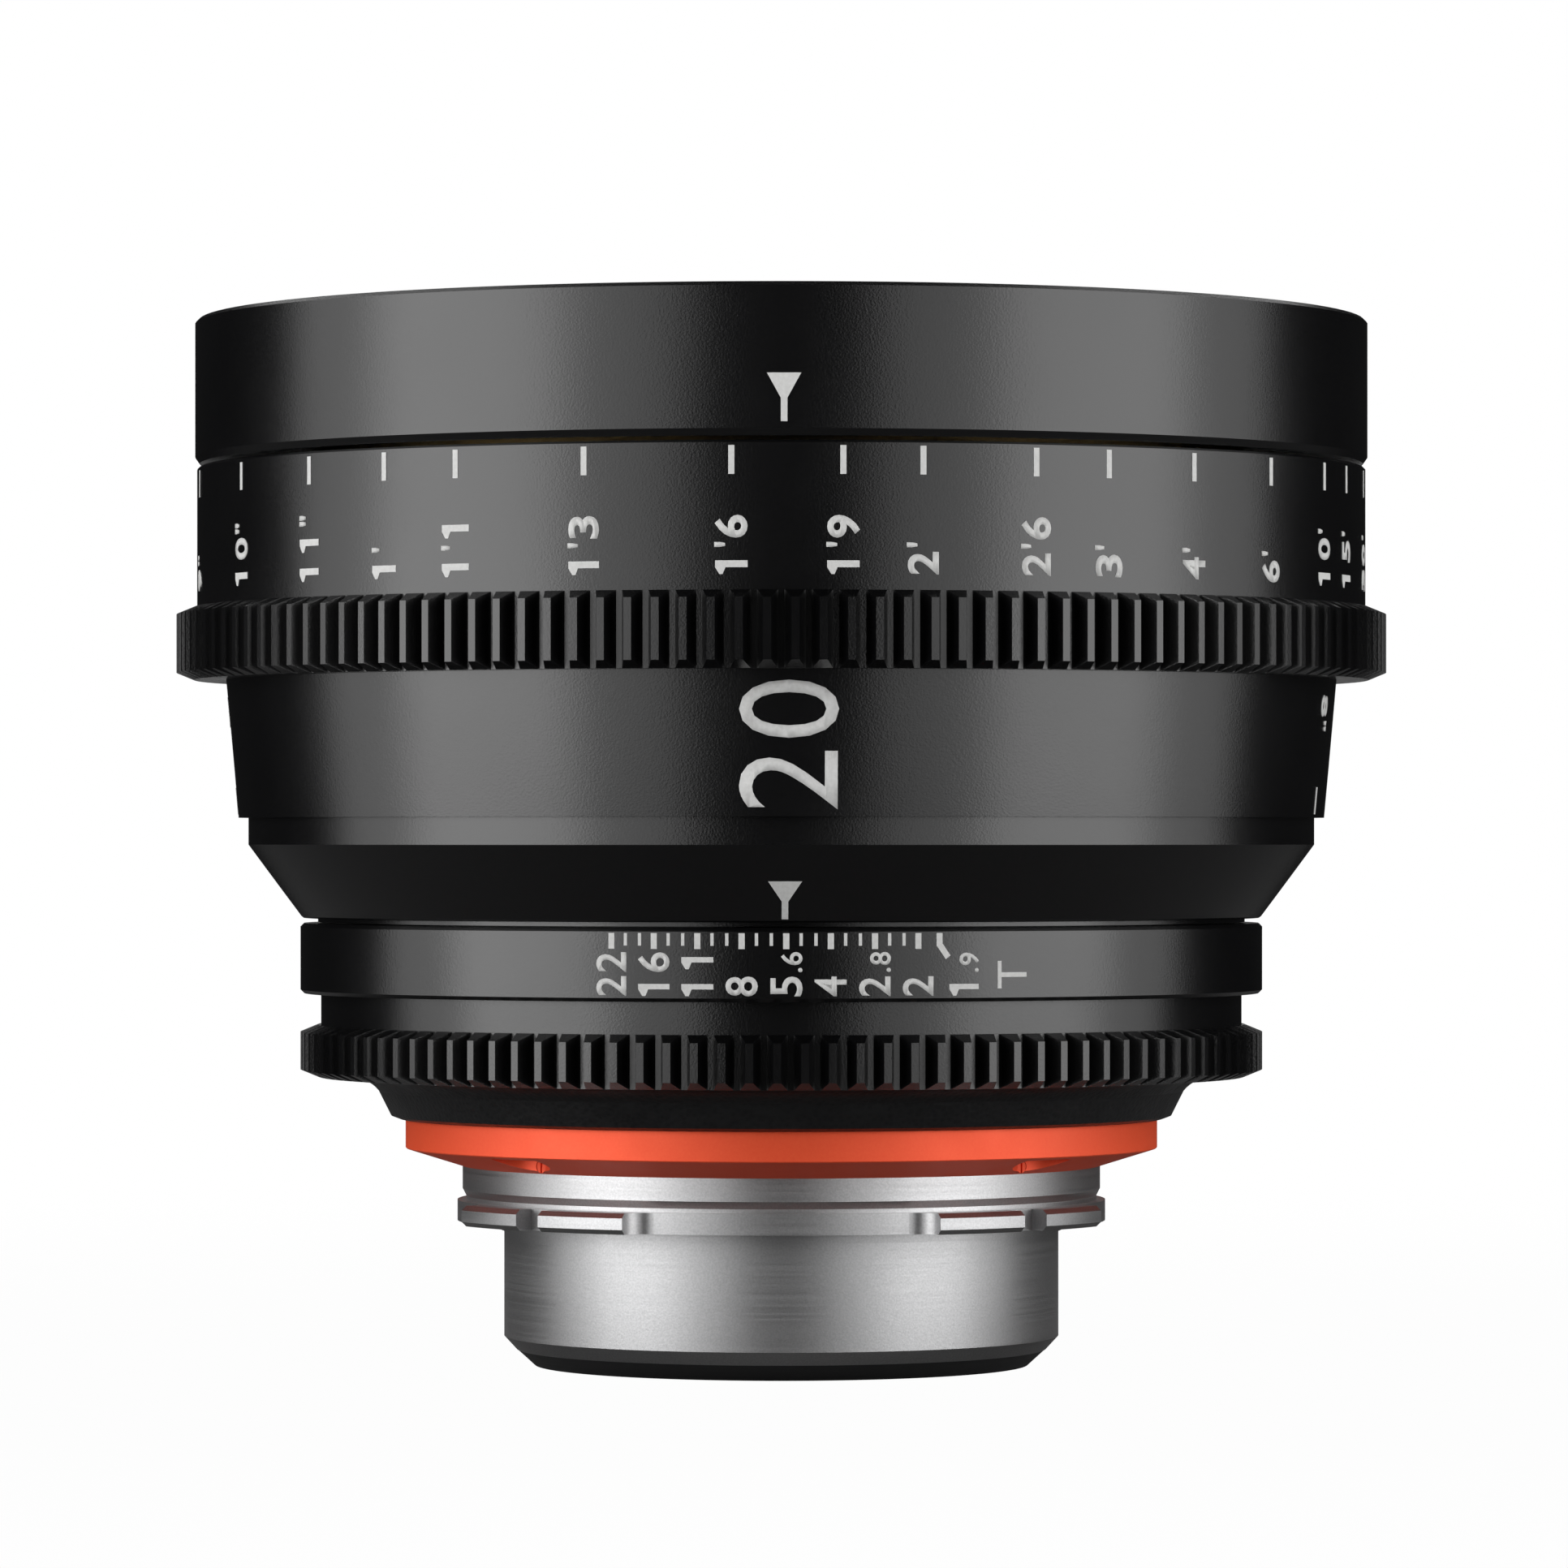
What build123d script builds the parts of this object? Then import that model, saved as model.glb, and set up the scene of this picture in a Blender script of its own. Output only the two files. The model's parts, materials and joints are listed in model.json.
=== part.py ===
from build123d import *
from math import cos, degrees, hypot, pi, radians, sin, sqrt, tan
import os

os.makedirs("parts", exist_ok=True)

# Cinema prime lens, in millimetres. z = 0 is the rear end, +Z points to the front along the optical axis,
# and the index marks face -Y.

# Fits and clearances
slide_gap = 0.08  # radial gap of a ring or tube that turns or slides on another
pin_gap = 0.05  # radial gap round a pin or roller in its hole or slot
fit_gap = 0.03  # radial gap of a spigot or an element that is seated for good
face_gap = 0.1  # axial gap between faces that turn against each other
skirt_gap = 0.3  # radial gap where the focus ring overlaps the fixed barrel
stop_gap = 0.3  # gap that is left when a moving piece meets its stop
overrun = 1.0  # how far a cut runs past the wall that it cuts

# Travel of the two rings, in degrees from the rest pose
focus_far_turn = -93.0
focus_near_turn = 107.0
focus_rise = 1.0  # travel of the optics in millimetres per radian of the focus ring
iris_open_turn = -17.5
iris_closed_turn = 20.0

# Lengths along the axis, from the rear end forwards
trim_height = 1.55
mount_chamfer_height = 1.3
mount_barrel_length = 12.55
shoulder_height = 0.9
flange_thickness = 2.0
groove_height = 0.4
disc_height = 2.9
disc_taper_height = 0.7
accent_height = 4.6
accent_cone_height = 1.7
cover_height = 4.0
iris_gear_width = 5.05
iris_waist_height = 3.05
iris_scale_height = 6.8
neck_height = 0.4
rear_cone_height = 7.1
rear_cylinder_height = 2.6
skirt_height = 13.35
focus_gear_width = 7.05
focus_scale_height = 13.5
front_gap = 0.4
front_ring_height = 13.9

# The camera mount's barrel is 54 mm across. The radii of the other pieces are set out from it.
mount_radius = 27.0

# Gear rings: 0.8 module, straight-flanked teeth with chamfered ends
gear_module = 0.8
pressure_angle = 20.0
dedendum_share = 1.25
focus_teeth = round(2 * (mount_radius + 31.0) / gear_module)
iris_teeth = round(2 * (mount_radius + 19.0) / gear_module)
tooth_chamfer = 0.7
tooth_foot = 0.1  # radial height of the tooth ends before their chamfer starts
focus_gap_angle = -90.0  # direction of one gap between teeth, at the index marks
iris_gap_angle = -88.9
focus_pitch_radius = gear_module * focus_teeth / 2
focus_tip_radius = focus_pitch_radius + gear_module
focus_root_radius = focus_pitch_radius - dedendum_share * gear_module
iris_pitch_radius = gear_module * iris_teeth / 2
iris_tip_radius = iris_pitch_radius + gear_module
iris_root_radius = iris_pitch_radius - dedendum_share * gear_module

# Outer radii
trim_rear_radius = mount_radius - 2.95
trim_front_radius = mount_radius - 1.25
mount_rear_radius = mount_radius - 1.2
shoulder_radius = mount_radius + 0.35
flange_radius = mount_radius + 4.55
groove_radius = mount_radius + 3.7
disc_radius = mount_radius + 4.05
lug_radius = mount_radius + 7.0
accent_radius = mount_radius + 9.6
cover_rear_radius = mount_radius + 10.2
cover_radius = mount_radius + 11.0
cover_waist_radius = mount_radius + 12.2
iris_waist_radius = iris_root_radius - 0.2
iris_scale_radius = mount_radius + 19.8
neck_radius = mount_radius + 18.1
rear_small_radius = mount_radius + 19.7
rear_barrel_radius = mount_radius + 24.85
skirt_rear_radius = mount_radius + 25.8
skirt_front_radius = focus_root_radius - 3.0
focus_scale_radius = focus_root_radius - 0.2
front_radius = focus_scale_radius + 0.2
small_chamfer = 0.2
edge_chamfer = 0.35

# Levels along the axis that the lengths lead to
mount_rear_z = trim_height
seat_z = mount_rear_z + mount_barrel_length
flange_front_z = seat_z + flange_thickness
mount_front_z = flange_front_z + groove_height + disc_height
accent_front_z = mount_front_z + accent_height
cover_front_z = accent_front_z + cover_height
iris_rear_z = cover_front_z + face_gap
iris_waist_z = iris_rear_z + iris_gear_width
iris_scale_z = iris_waist_z + iris_waist_height
iris_front_z = iris_scale_z + iris_scale_height
neck_z = iris_front_z + face_gap
rear_barrel_z = neck_z + neck_height
rear_cylinder_z = rear_barrel_z + rear_cone_height
focus_rear_z = rear_cylinder_z + rear_cylinder_height
focus_gear_z = focus_rear_z + skirt_height
focus_scale_z = focus_gear_z + focus_gear_width
focus_front_z = focus_scale_z + focus_scale_height
front_ring_z = focus_front_z + front_gap
front_z = front_ring_z + front_ring_height

# Guide tube of the main barrel, on which the rings turn and in which the optics slide
guide_radius = mount_radius + 17.0
guide_wall = 2.5
guide_bore = guide_radius - guide_wall
iris_seat_radius = mount_radius + 14.8
iris_seat_wall = 2.4
iris_seat_bore = iris_seat_radius - iris_seat_wall
bulkhead_bore = mount_radius - 1.0
bulkhead_web = 1.5
hub_radius = mount_radius + 8.9
barrel_flange_radius = mount_radius + 20.8
barrel_flange_thickness = 2.0
barrel_flange_rise = 3.0  # from the rear face of the rear barrel to the flange
guide_step_rise = 1.0  # from the rear face of the rear barrel to the step in the bore
washer_seat_radius = mount_radius + 18.0
washer_seat_height = 2.2
washer_thickness = 0.25
washer_play = 0.05
guide_overlap = 2.45  # length of guide tube inside the front ring
barrel_flange_z = rear_barrel_z + barrel_flange_rise
barrel_flange_front_z = barrel_flange_z + barrel_flange_thickness
washer_seat_z = barrel_flange_front_z + washer_seat_height
guide_step_z = rear_barrel_z + guide_step_rise
guide_front_z = front_ring_z + guide_overlap
bulkhead_front_z = cover_front_z + bulkhead_web

# Screws: a small one with a flat head and a smaller one where walls are thin
screw_radius = 0.9
screw_head_radius = 1.8
screw_head_height = 1.1
small_screw_radius = 0.7
small_screw_head_radius = 1.2
small_screw_head_height = 0.9
slot_width = 0.45
slot_depth = 0.4
bite = 4.0  # length of thread in the piece that a screw holds
recess_wall = 0.1  # wall left beside the recess of a screw head
small_hole_radius = small_screw_radius + fit_gap
small_recess_radius = small_screw_head_radius + fit_gap
small_recess_reach = small_recess_radius + recess_wall

# Rollers that carry the optics through the guide slots and the cam slots
roller_radius = 1.3
roller_axle_radius = 0.9
roller_angles = (30.0, 150.0, 270.0)
roller_first_rise = 4.8  # from the washer seat to the rearmost roller
roller_spacing = 7.5
optics_back = focus_rise * radians(focus_far_turn)
optics_forth = focus_rise * radians(focus_near_turn)
roller_slot_radius = roller_radius + pin_gap

# Cam sleeve
sleeve_wall = 2.62
sleeve_bore = guide_radius + slide_gap
sleeve_radius = sleeve_bore + sleeve_wall
sleeve_flange_radius = focus_scale_radius - 4.8
sleeve_flange_thickness = 2.0
sleeve_flange_rise = 1.35  # from the front of the gear teeth to the flange
sleeve_rear_z = washer_seat_z + washer_thickness + washer_play
sleeve_front_z = front_ring_z - washer_thickness - 2 * washer_play
sleeve_flange_z = focus_scale_z + sleeve_flange_rise
sleeve_screw_circle = (sleeve_radius + sleeve_flange_radius) / 2
roller_levels = [washer_seat_z + roller_first_rise + i * roller_spacing for i in range(len(roller_angles))]

# Stop block of the focus ring
stop_angle = 90.0
stop_width = 4.0
stop_height = 2.0
stop_wall = 1.2
stop_inner_radius = sleeve_radius - stop_wall

# Focus ring walls
band_wall = 2.5
skirt_wall = 3.5
web_thickness = 7.0
collar_wall = 2.25
collar_overlap = 2.8  # length of fixed barrel inside the skirt
collar_clearance = 0.4

# Front ring and its baffle
front_wall = 3.0
front_chamfer_height = 0.65
front_chamfer_width = 0.45
front_flange_thickness = 2.4
optics_clearance = 0.2  # round the optics where they pass the front ring
baffle_lip = 0.9
baffle_drop = 0.95
baffle_edge = 0.8
baffle_steps = 7

# Carrier of the optics
carrier_radius = guide_bore - slide_gap
carrier_wall = 3.0
carrier_bore = carrier_radius - carrier_wall
carrier_rise = 2.5  # from the step in the guide bore to the carrier's bulkhead
carrier_web = 3.0
carrier_length = 39.0
carrier_rear_z = guide_step_z + carrier_rise
carrier_web_z = carrier_rear_z + carrier_web
carrier_front_z = carrier_rear_z + carrier_length
housing_radius = mount_radius + 2.3
housing_bore = mount_radius - 0.7
housing_foot = 1.5  # length of housing behind the seat plate
seat_plate_radius = mount_radius - 0.05

# Iris: eleven blades that swing on a seat plate and are driven by spiral slots in a cam ring
blade_count = 11
blade_ratio = 0.85  # turn of a blade per turn of the iris ring
blade_thickness = 0.12
blade_pitch = 0.2
blade_stack_gap = 0.1
blade_arc = 118.0
open_radius = mount_radius - 15.5
blade_width = 5.0
blade_pivot_radius = mount_radius - 8.0
blade_tab_width = 3.0
drive_arm = 7.0
drive_angle = 60.0
drive_tab_width = 2.2
pivot_pin_radius = 0.6
drive_pin_radius = 0.5
seat_plate_thickness = 1.2
seat_plate_bore = open_radius + 0.4
cam_ring_bore = mount_radius - 8.4
cam_ring_thickness = 1.0
cam_arm_width = 6.0
fork_wall = 1.6
fork_web = 1.5
fork_half_height = 3.5
fork_radius = mount_radius + 11.6
fork_root_radius = mount_radius + 8.0
ring_pin_radius = 1.0
ring_pin_depth = 2.1
ring_pin_angle = 90.0
ring_pin_tip_gap = 0.6
cam_slot_ease = 1.0  # turn that the cam slots run past the blades' travel, in degrees
iris_drop = 7.4  # from the carrier's bulkhead down to the front of the cam ring
cam_front_z = carrier_rear_z - iris_drop
cam_rear_z = cam_front_z - cam_ring_thickness
blade_top_z = cam_rear_z - blade_stack_gap
blade_bottom_z = blade_top_z - blade_pitch * blade_count
seat_plate_front_z = blade_bottom_z - blade_stack_gap
seat_plate_rear_z = seat_plate_front_z - seat_plate_thickness
blade_rest_turn = -blade_ratio * iris_open_turn
cam_radius = housing_bore - slide_gap
cam_mid_z = (cam_front_z + cam_rear_z) / 2

# Optical cells
cell_flange_thickness = 2.0
cell_land_height = 8.0
cell_neck_height = 12.0
cell_lip = 1.3
retainer_clearance = 0.3
rear_cell_radius = mount_radius - 2.6
rear_cell_flange_thickness = 2.0
rear_cell_flange_radius = housing_radius
housing_rear_z = seat_plate_rear_z - housing_foot
rear_cell_front_z = housing_rear_z
rear_cell_screw_circle = housing_radius - small_recess_reach

# Lens elements. Each row holds shares of front_glass_radius for the rim radius and the radius of the front
# and the rear curve, and then shares of glass_depth for the rim's rear and front face and the rise of the
# front and the rear curve at the centre. A curve that bulges out of the glass counts as positive.
front_glass_radius = mount_radius + 10.2
glass_depth = carrier_length - 1.8
cell_neck_radius = front_glass_radius - 4.2
cell_tail_radius = front_glass_radius - 10.2
middle_cell_share = 0.538
middle_cell_radius = middle_cell_share * front_glass_radius


def glass_shares(rim, front_curve, rear_curve, rim_rear, rim_front, front_bulge, rear_bulge):
    """One row of the element table, as sizes."""
    radii = [share * front_glass_radius for share in (rim, front_curve, rear_curve)]
    depths = [share * glass_depth for share in (rim_rear, rim_front, front_bulge, rear_bulge)]
    return radii + depths


# Levels are measured from the front face of the carrier in the front and middle groups, and from
# the rear face of the rear cell's flange in the rear group.
front_element_shares = (
    (1.0, 0.941, 0.820, -0.094, -0.013, 0.269, -0.242),
    (0.847, 0.801, 0.618, -0.282, -0.215, 0.188, -0.161),
    (0.685, 0.591, 0.565, -0.470, -0.336, -0.043, -0.048),
    (0.605, 0.551, 0.538, -0.712, -0.605, 0.086, 0.054),
)
middle_element_shares = (
    (0.444, 0.417, 0.403, -0.981, -0.914, 0.048, -0.024),
    (0.417, 0.390, 0.376, -1.129, -1.048, 0.038, 0.024),
)
rear_element_shares = (
    (0.363, 0.336, 0.344, -0.081, -0.013, -0.040, 0.059),
    (0.430, 0.403, 0.403, -0.296, -0.148, -0.054, -0.048),
    (0.430, 0.403, 0.403, -0.363, -0.296, 0.048, 0.065),
    (0.524, 0.400, 0.484, -0.565, -0.484, 0.032, 0.040),
)


def half_section(*points):
    """A closed half section of a turned piece, from (radius, height) points."""
    with BuildSketch(Plane.XZ) as section:
        with BuildLine():
            Polyline(*points, close=True)
        make_face()
    return section.sketch


def ring_sector(inner, outer, start, end):
    """Plan of part of a flat ring, from one angle to another."""
    with BuildSketch() as plan:
        with BuildLine():
            near = CenterArc((0, 0), inner, start, end - start)
            far = CenterArc((0, 0), outer, start, end - start)
            Line(near @ 0, far @ 0)
            Line(near @ 1, far @ 1)
        make_face()
    return plan.sketch


def tooth_gaps(teeth, first_gap_angle):
    """Plan of the gaps between the teeth of a gear ring, which are straight-flanked."""
    pitch_radius = gear_module * teeth / 2
    root_radius = pitch_radius - dedendum_share * gear_module
    reach_radius = pitch_radius + gear_module + overrun
    flank_slope = tan(radians(pressure_angle))
    half_gap = pi * gear_module / 4
    root_half = half_gap - (pitch_radius - root_radius) * flank_slope
    reach_half = half_gap + (reach_radius - pitch_radius) * flank_slope
    with BuildSketch() as plan:
        with PolarLocations(0, teeth, start_angle=first_gap_angle):
            Polygon(
                (root_radius, -root_half),
                (reach_radius, -reach_half),
                (reach_radius, reach_half),
                (root_radius, root_half),
                align=None,
            )
    return plan.sketch


def screw(length, head_radius=screw_head_radius, head_height=screw_head_height, shank_radius=screw_radius):
    """A slotted screw with its head's top on z = 0 and a shank of that length pointing down."""
    with BuildPart() as one:
        with BuildSketch():
            Circle(head_radius)
        extrude(amount=-head_height)
        with BuildSketch(Plane.XY.offset(-head_height)):
            Circle(shank_radius)
        extrude(amount=-length)
        with BuildSketch():
            Rectangle(2 * (head_radius + overrun), slot_width)
        extrude(amount=-slot_depth, mode=Mode.SUBTRACT)
    return one.part


def small_screw(length):
    """The smaller screw, for thin walls."""
    return screw(length, small_screw_head_radius, small_screw_head_height, small_screw_radius)


def hole_circle(circle_radius, count, hole_radius, start_angle=0):
    """Plan of equal round holes on a circle."""
    with BuildSketch() as plan:
        with PolarLocations(circle_radius, count, start_angle=start_angle):
            Circle(hole_radius)
    return plan.sketch


def at_height(plan, height):
    """The same plan, lifted to a height."""
    return Pos(0, 0, height) * plan


# Rear trim ring: the black ring that closes the steel mount and on which the lens stands
trim_bore = mount_radius - 4.5
trim_spigot_height = 3.0
trim_spigot_wall = 1.6
mount_bore = mount_radius - 1.8

with BuildPart() as rear_trim_ring:
    spigot_radius = mount_bore - fit_gap
    spigot_z = mount_rear_z + trim_spigot_height
    revolve(
        half_section(
            (trim_bore, 0),
            (trim_rear_radius, 0),
            (trim_front_radius, mount_rear_z),
            (spigot_radius, mount_rear_z),
            (spigot_radius, spigot_z),
            (spigot_radius - trim_spigot_wall, spigot_z),
            (trim_bore, mount_rear_z),
        ),
        axis=Axis.Z,
    )
rear_trim_ring.part.label = "rear_trim_ring"
export_step(rear_trim_ring.part, "parts/rear_trim_ring.step")

# Steel camera mount: a 54 mm barrel, and a flange with four lugs that the camera's ring clamps
mount_shim_thickness = 0.3
mount_shim_wall = 0.45
mount_shim_bore = mount_radius + 0.5
lug_count = 4
first_lug_angle = 45.0
lug_half_angle = 19.0
lug_notch_width = 3.0
lug_notch_depth = 2.0
lug_root_fillet = 2.2
lug_edge_height = 0.45
lug_edge_width = 0.5
mount_screw_count = 4
mount_screw_circle = (shoulder_radius + flange_radius) / 2
mount_screw_bite = 3.0
mount_screw_length = accent_front_z - seat_z + mount_screw_bite - screw_head_height

with BuildPart() as mount_flange:
    groove_front_z = flange_front_z + groove_height
    recess_radius = disc_radius - mount_shim_wall
    recess_z = mount_front_z - mount_shim_thickness
    revolve(
        half_section(
            (mount_bore, mount_rear_z),
            (mount_rear_radius, mount_rear_z),
            (mount_radius, mount_rear_z + mount_chamfer_height),
            (mount_radius, seat_z - shoulder_height),
            (shoulder_radius, seat_z - shoulder_height),
            (shoulder_radius, seat_z),
            (flange_radius, seat_z),
            (flange_radius, flange_front_z),
            (groove_radius, flange_front_z),
            (groove_radius, groove_front_z),
            (disc_radius, groove_front_z + disc_taper_height),
            (disc_radius, mount_front_z),
            (recess_radius, mount_front_z),
            (recess_radius, recess_z),
            (mount_bore, recess_z),
        ),
        axis=Axis.Z,
    )
    with BuildSketch(Plane.XY.offset(seat_z)) as lug_plan:
        lug_reach = lug_radius + overrun
        lug_half_width = lug_reach * tan(radians(lug_half_angle))
        with PolarLocations(0, lug_count, start_angle=first_lug_angle):
            Polygon((0, 0), (lug_reach, -lug_half_width), (lug_reach, lug_half_width), align=None)
        Circle(lug_radius, mode=Mode.INTERSECT)
        with PolarLocations(lug_radius, lug_count, start_angle=first_lug_angle):
            Rectangle(2 * lug_notch_depth, lug_notch_width, mode=Mode.SUBTRACT)
        Circle(flange_radius)
        Circle(shoulder_radius, mode=Mode.SUBTRACT)
        lug_roots = lug_plan.vertices().filter_by(
            lambda corner: abs(hypot(corner.X, corner.Y) - flange_radius) < small_chamfer
        )
        fillet(lug_roots, lug_root_fillet)
    extrude(amount=flange_thickness)
    for edge_z, side in ((seat_z, 1), (flange_front_z, -1)):
        revolve(
            half_section(
                (lug_radius - lug_edge_width, edge_z),
                (lug_radius + overrun, edge_z),
                (lug_radius + overrun, edge_z + side * lug_edge_height),
                (lug_radius, edge_z + side * lug_edge_height),
            ),
            axis=Axis.Z,
            mode=Mode.SUBTRACT,
        )
    shank_holes = hole_circle(mount_screw_circle, mount_screw_count, screw_radius + fit_gap)
    extrude(at_height(shank_holes, seat_z), amount=mount_front_z - seat_z, mode=Mode.SUBTRACT)
    head_holes = hole_circle(mount_screw_circle, mount_screw_count, screw_head_radius + fit_gap)
    extrude(at_height(head_holes, seat_z), amount=screw_head_height, mode=Mode.SUBTRACT)
mount_flange.part.label = "mount_flange"
export_step(mount_flange.part, "parts/mount_flange.step")

# Shim that sets the distance from the seat face to the image
with BuildPart() as mount_shim:
    with BuildSketch(Plane.XY.offset(mount_front_z - mount_shim_thickness)):
        Circle(disc_radius - mount_shim_wall - fit_gap)
        Circle(mount_shim_bore, mode=Mode.SUBTRACT)
        add(hole_circle(mount_screw_circle, mount_screw_count, screw_radius + fit_gap), mode=Mode.SUBTRACT)
    extrude(amount=mount_shim_thickness)
mount_shim.part.label = "mount_shim"
export_step(mount_shim.part, "parts/mount_shim.step")

with BuildPart() as mount_screws:
    with PolarLocations(mount_screw_circle, mount_screw_count):
        with Locations((0, 0, seat_z)):
            add(screw(mount_screw_length), rotation=(180, 0, 0))
mount_screws.part.label = "mount_screws"
export_step(mount_screws.part, "parts/mount_screws.step")

# Accent ring: the coloured ring between the mount and the rear cover, with four notches for its set screws
accent_bore = mount_radius + 0.5
accent_edge = 0.1
notch_radius = 3.1
notch_circle = mount_radius + 8.2
notch_height = 1.5
set_screw_radius = 0.6
set_screw_length = 3.0
set_screw_rise = 0.75  # from the front of the steel mount to the screws' axis

with BuildPart() as accent_ring:
    cone_front_z = mount_front_z + accent_cone_height
    revolve(
        half_section(
            (accent_bore, mount_front_z),
            (disc_radius, mount_front_z),
            (accent_radius - accent_edge, cone_front_z),
            (accent_radius, cone_front_z + accent_edge),
            (accent_radius, accent_front_z),
            (accent_bore, accent_front_z),
        ),
        axis=Axis.Z,
    )
    with BuildSketch(Plane.XY.offset(mount_front_z)):
        add(hole_circle(notch_circle, lug_count, notch_radius, first_lug_angle))
    extrude(amount=notch_height, mode=Mode.SUBTRACT)
    with BuildSketch(Plane.XY.offset(mount_front_z)):
        add(hole_circle(mount_screw_circle, mount_screw_count, screw_radius + fit_gap))
    extrude(amount=accent_height, mode=Mode.SUBTRACT)
    with PolarLocations(0, lug_count, start_angle=first_lug_angle):
        with Locations((notch_circle, 0, mount_front_z + set_screw_rise)):
            Cylinder(
                set_screw_radius + fit_gap,
                2 * (notch_circle - accent_bore),
                rotation=(0, 90, 0),
                mode=Mode.SUBTRACT,
            )
accent_ring.part.label = "accent_ring"
export_step(accent_ring.part, "parts/accent_ring.step")

with BuildPart() as accent_set_screws:
    screw_end_radius = notch_circle - notch_radius
    with PolarLocations(0, lug_count, start_angle=first_lug_angle):
        with Locations((screw_end_radius, 0, mount_front_z + set_screw_rise)):
            Cylinder(
                set_screw_radius,
                set_screw_length,
                rotation=(0, 90, 0),
                align=(Align.CENTER, Align.CENTER, Align.MAX),
            )
            Box(slot_depth, slot_width / 2, 2 * set_screw_radius, mode=Mode.SUBTRACT)
accent_set_screws.part.label = "accent_set_screws"
export_step(accent_set_screws.part, "parts/accent_set_screws.step")

# Rear cover: the flared ring behind the iris gear
with BuildPart() as rear_cover:
    cover_edge = small_chamfer + face_gap
    cover_flare_height = 1.3
    cover_flare_sagitta = 0.3
    cover_top_radius = iris_seat_radius - face_gap
    cover_bore = hub_radius + fit_gap
    with BuildSketch(Plane.XZ):
        with BuildLine():
            flank = Line(
                (cover_radius, accent_front_z + cover_edge),
                (cover_waist_radius, cover_front_z - cover_flare_height),
            )
            flare = SagittaArc(flank @ 1, (cover_top_radius, cover_front_z), cover_flare_sagitta)
            Polyline(
                flare @ 1,
                (cover_bore, cover_front_z),
                (cover_bore, accent_front_z),
                (cover_rear_radius, accent_front_z),
                flank @ 0,
            )
        make_face()
    revolve(axis=Axis.Z)
rear_cover.part.label = "rear_cover"
export_step(rear_cover.part, "parts/rear_cover.step")

# Main barrel: the fixed tube that carries the mount, the rings and the rear barrel, and guides the optics
ring_pin_slot_radius = ring_pin_radius + stop_gap
front_screw_count = 6
passage_radius = carrier_radius + optics_clearance
front_screw_circle = passage_radius + small_recess_reach
front_screw_start = 30.0
rear_screw_count = 6
rear_screw_circle = washer_seat_radius + small_recess_reach
rear_screw_bite = 1.3
stop_circle = (stop_inner_radius + barrel_flange_radius) / 2

with BuildPart() as main_barrel:
    revolve(
        half_section(
            (bulkhead_bore, accent_front_z),
            (hub_radius, accent_front_z),
            (hub_radius, cover_front_z),
            (iris_seat_radius, cover_front_z),
            (iris_seat_radius, neck_z),
            (neck_radius, neck_z),
            (neck_radius, barrel_flange_z),
            (barrel_flange_radius, barrel_flange_z),
            (barrel_flange_radius, barrel_flange_front_z),
            (washer_seat_radius, barrel_flange_front_z),
            (washer_seat_radius, washer_seat_z),
            (guide_radius, washer_seat_z),
            (guide_radius, guide_front_z),
            (guide_bore, guide_front_z),
            (guide_bore, guide_step_z),
            (iris_seat_bore, guide_step_z),
            (iris_seat_bore, bulkhead_front_z),
            (bulkhead_bore, bulkhead_front_z),
        ),
        axis=Axis.Z,
    )
    # Straight guide slots, one for each roller
    for angle, level in zip(roller_angles, roller_levels):
        guide_plane = Plane(
            origin=(0, 0, level + (optics_back + optics_forth) / 2),
            x_dir=(0, 0, 1),
            z_dir=(cos(radians(angle)), sin(radians(angle)), 0),
        )
        with BuildSketch(guide_plane.offset(guide_bore - overrun)):
            slot_travel = optics_forth - optics_back + 2 * stop_gap
            SlotCenterToCenter(slot_travel, 2 * roller_slot_radius)
        extrude(amount=guide_wall + 2 * overrun, mode=Mode.SUBTRACT)
    # Slot round the barrel, whose ends stop the pin of the iris ring
    pin_stop_turn = degrees(stop_gap / iris_seat_radius)
    with BuildSketch(Plane.XY.offset(cam_mid_z - ring_pin_slot_radius)):
        pin_half_angle = degrees(ring_pin_radius / iris_seat_bore) + pin_stop_turn
        pin_start = ring_pin_angle + iris_open_turn - pin_half_angle
        pin_end = ring_pin_angle + iris_closed_turn + pin_half_angle
        add(ring_sector(iris_seat_bore - overrun, iris_seat_radius + overrun, pin_start, pin_end))
    extrude(amount=2 * ring_pin_slot_radius, mode=Mode.SUBTRACT)
    # Threaded holes for the mount, the front ring and the rear barrel
    with BuildSketch(Plane.XY.offset(accent_front_z)):
        add(hole_circle(mount_screw_circle, mount_screw_count, screw_radius + fit_gap))
    extrude(amount=cover_height + bulkhead_web, mode=Mode.SUBTRACT)
    with BuildSketch(Plane.XY.offset(guide_front_z - bite)):
        add(hole_circle(front_screw_circle, front_screw_count, small_hole_radius, front_screw_start))
    extrude(amount=bite, mode=Mode.SUBTRACT)
    with BuildSketch(Plane.XY.offset(barrel_flange_z)):
        add(hole_circle(rear_screw_circle, rear_screw_count, small_hole_radius))
    extrude(amount=barrel_flange_thickness, mode=Mode.SUBTRACT)
    with BuildSketch(Plane.XY.offset(barrel_flange_front_z - small_screw_head_height)):
        add(hole_circle(rear_screw_circle, rear_screw_count, small_recess_radius))
    extrude(amount=small_screw_head_height, mode=Mode.SUBTRACT)
main_barrel.part.label = "main_barrel"
export_step(main_barrel.part, "parts/main_barrel.step")

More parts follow.
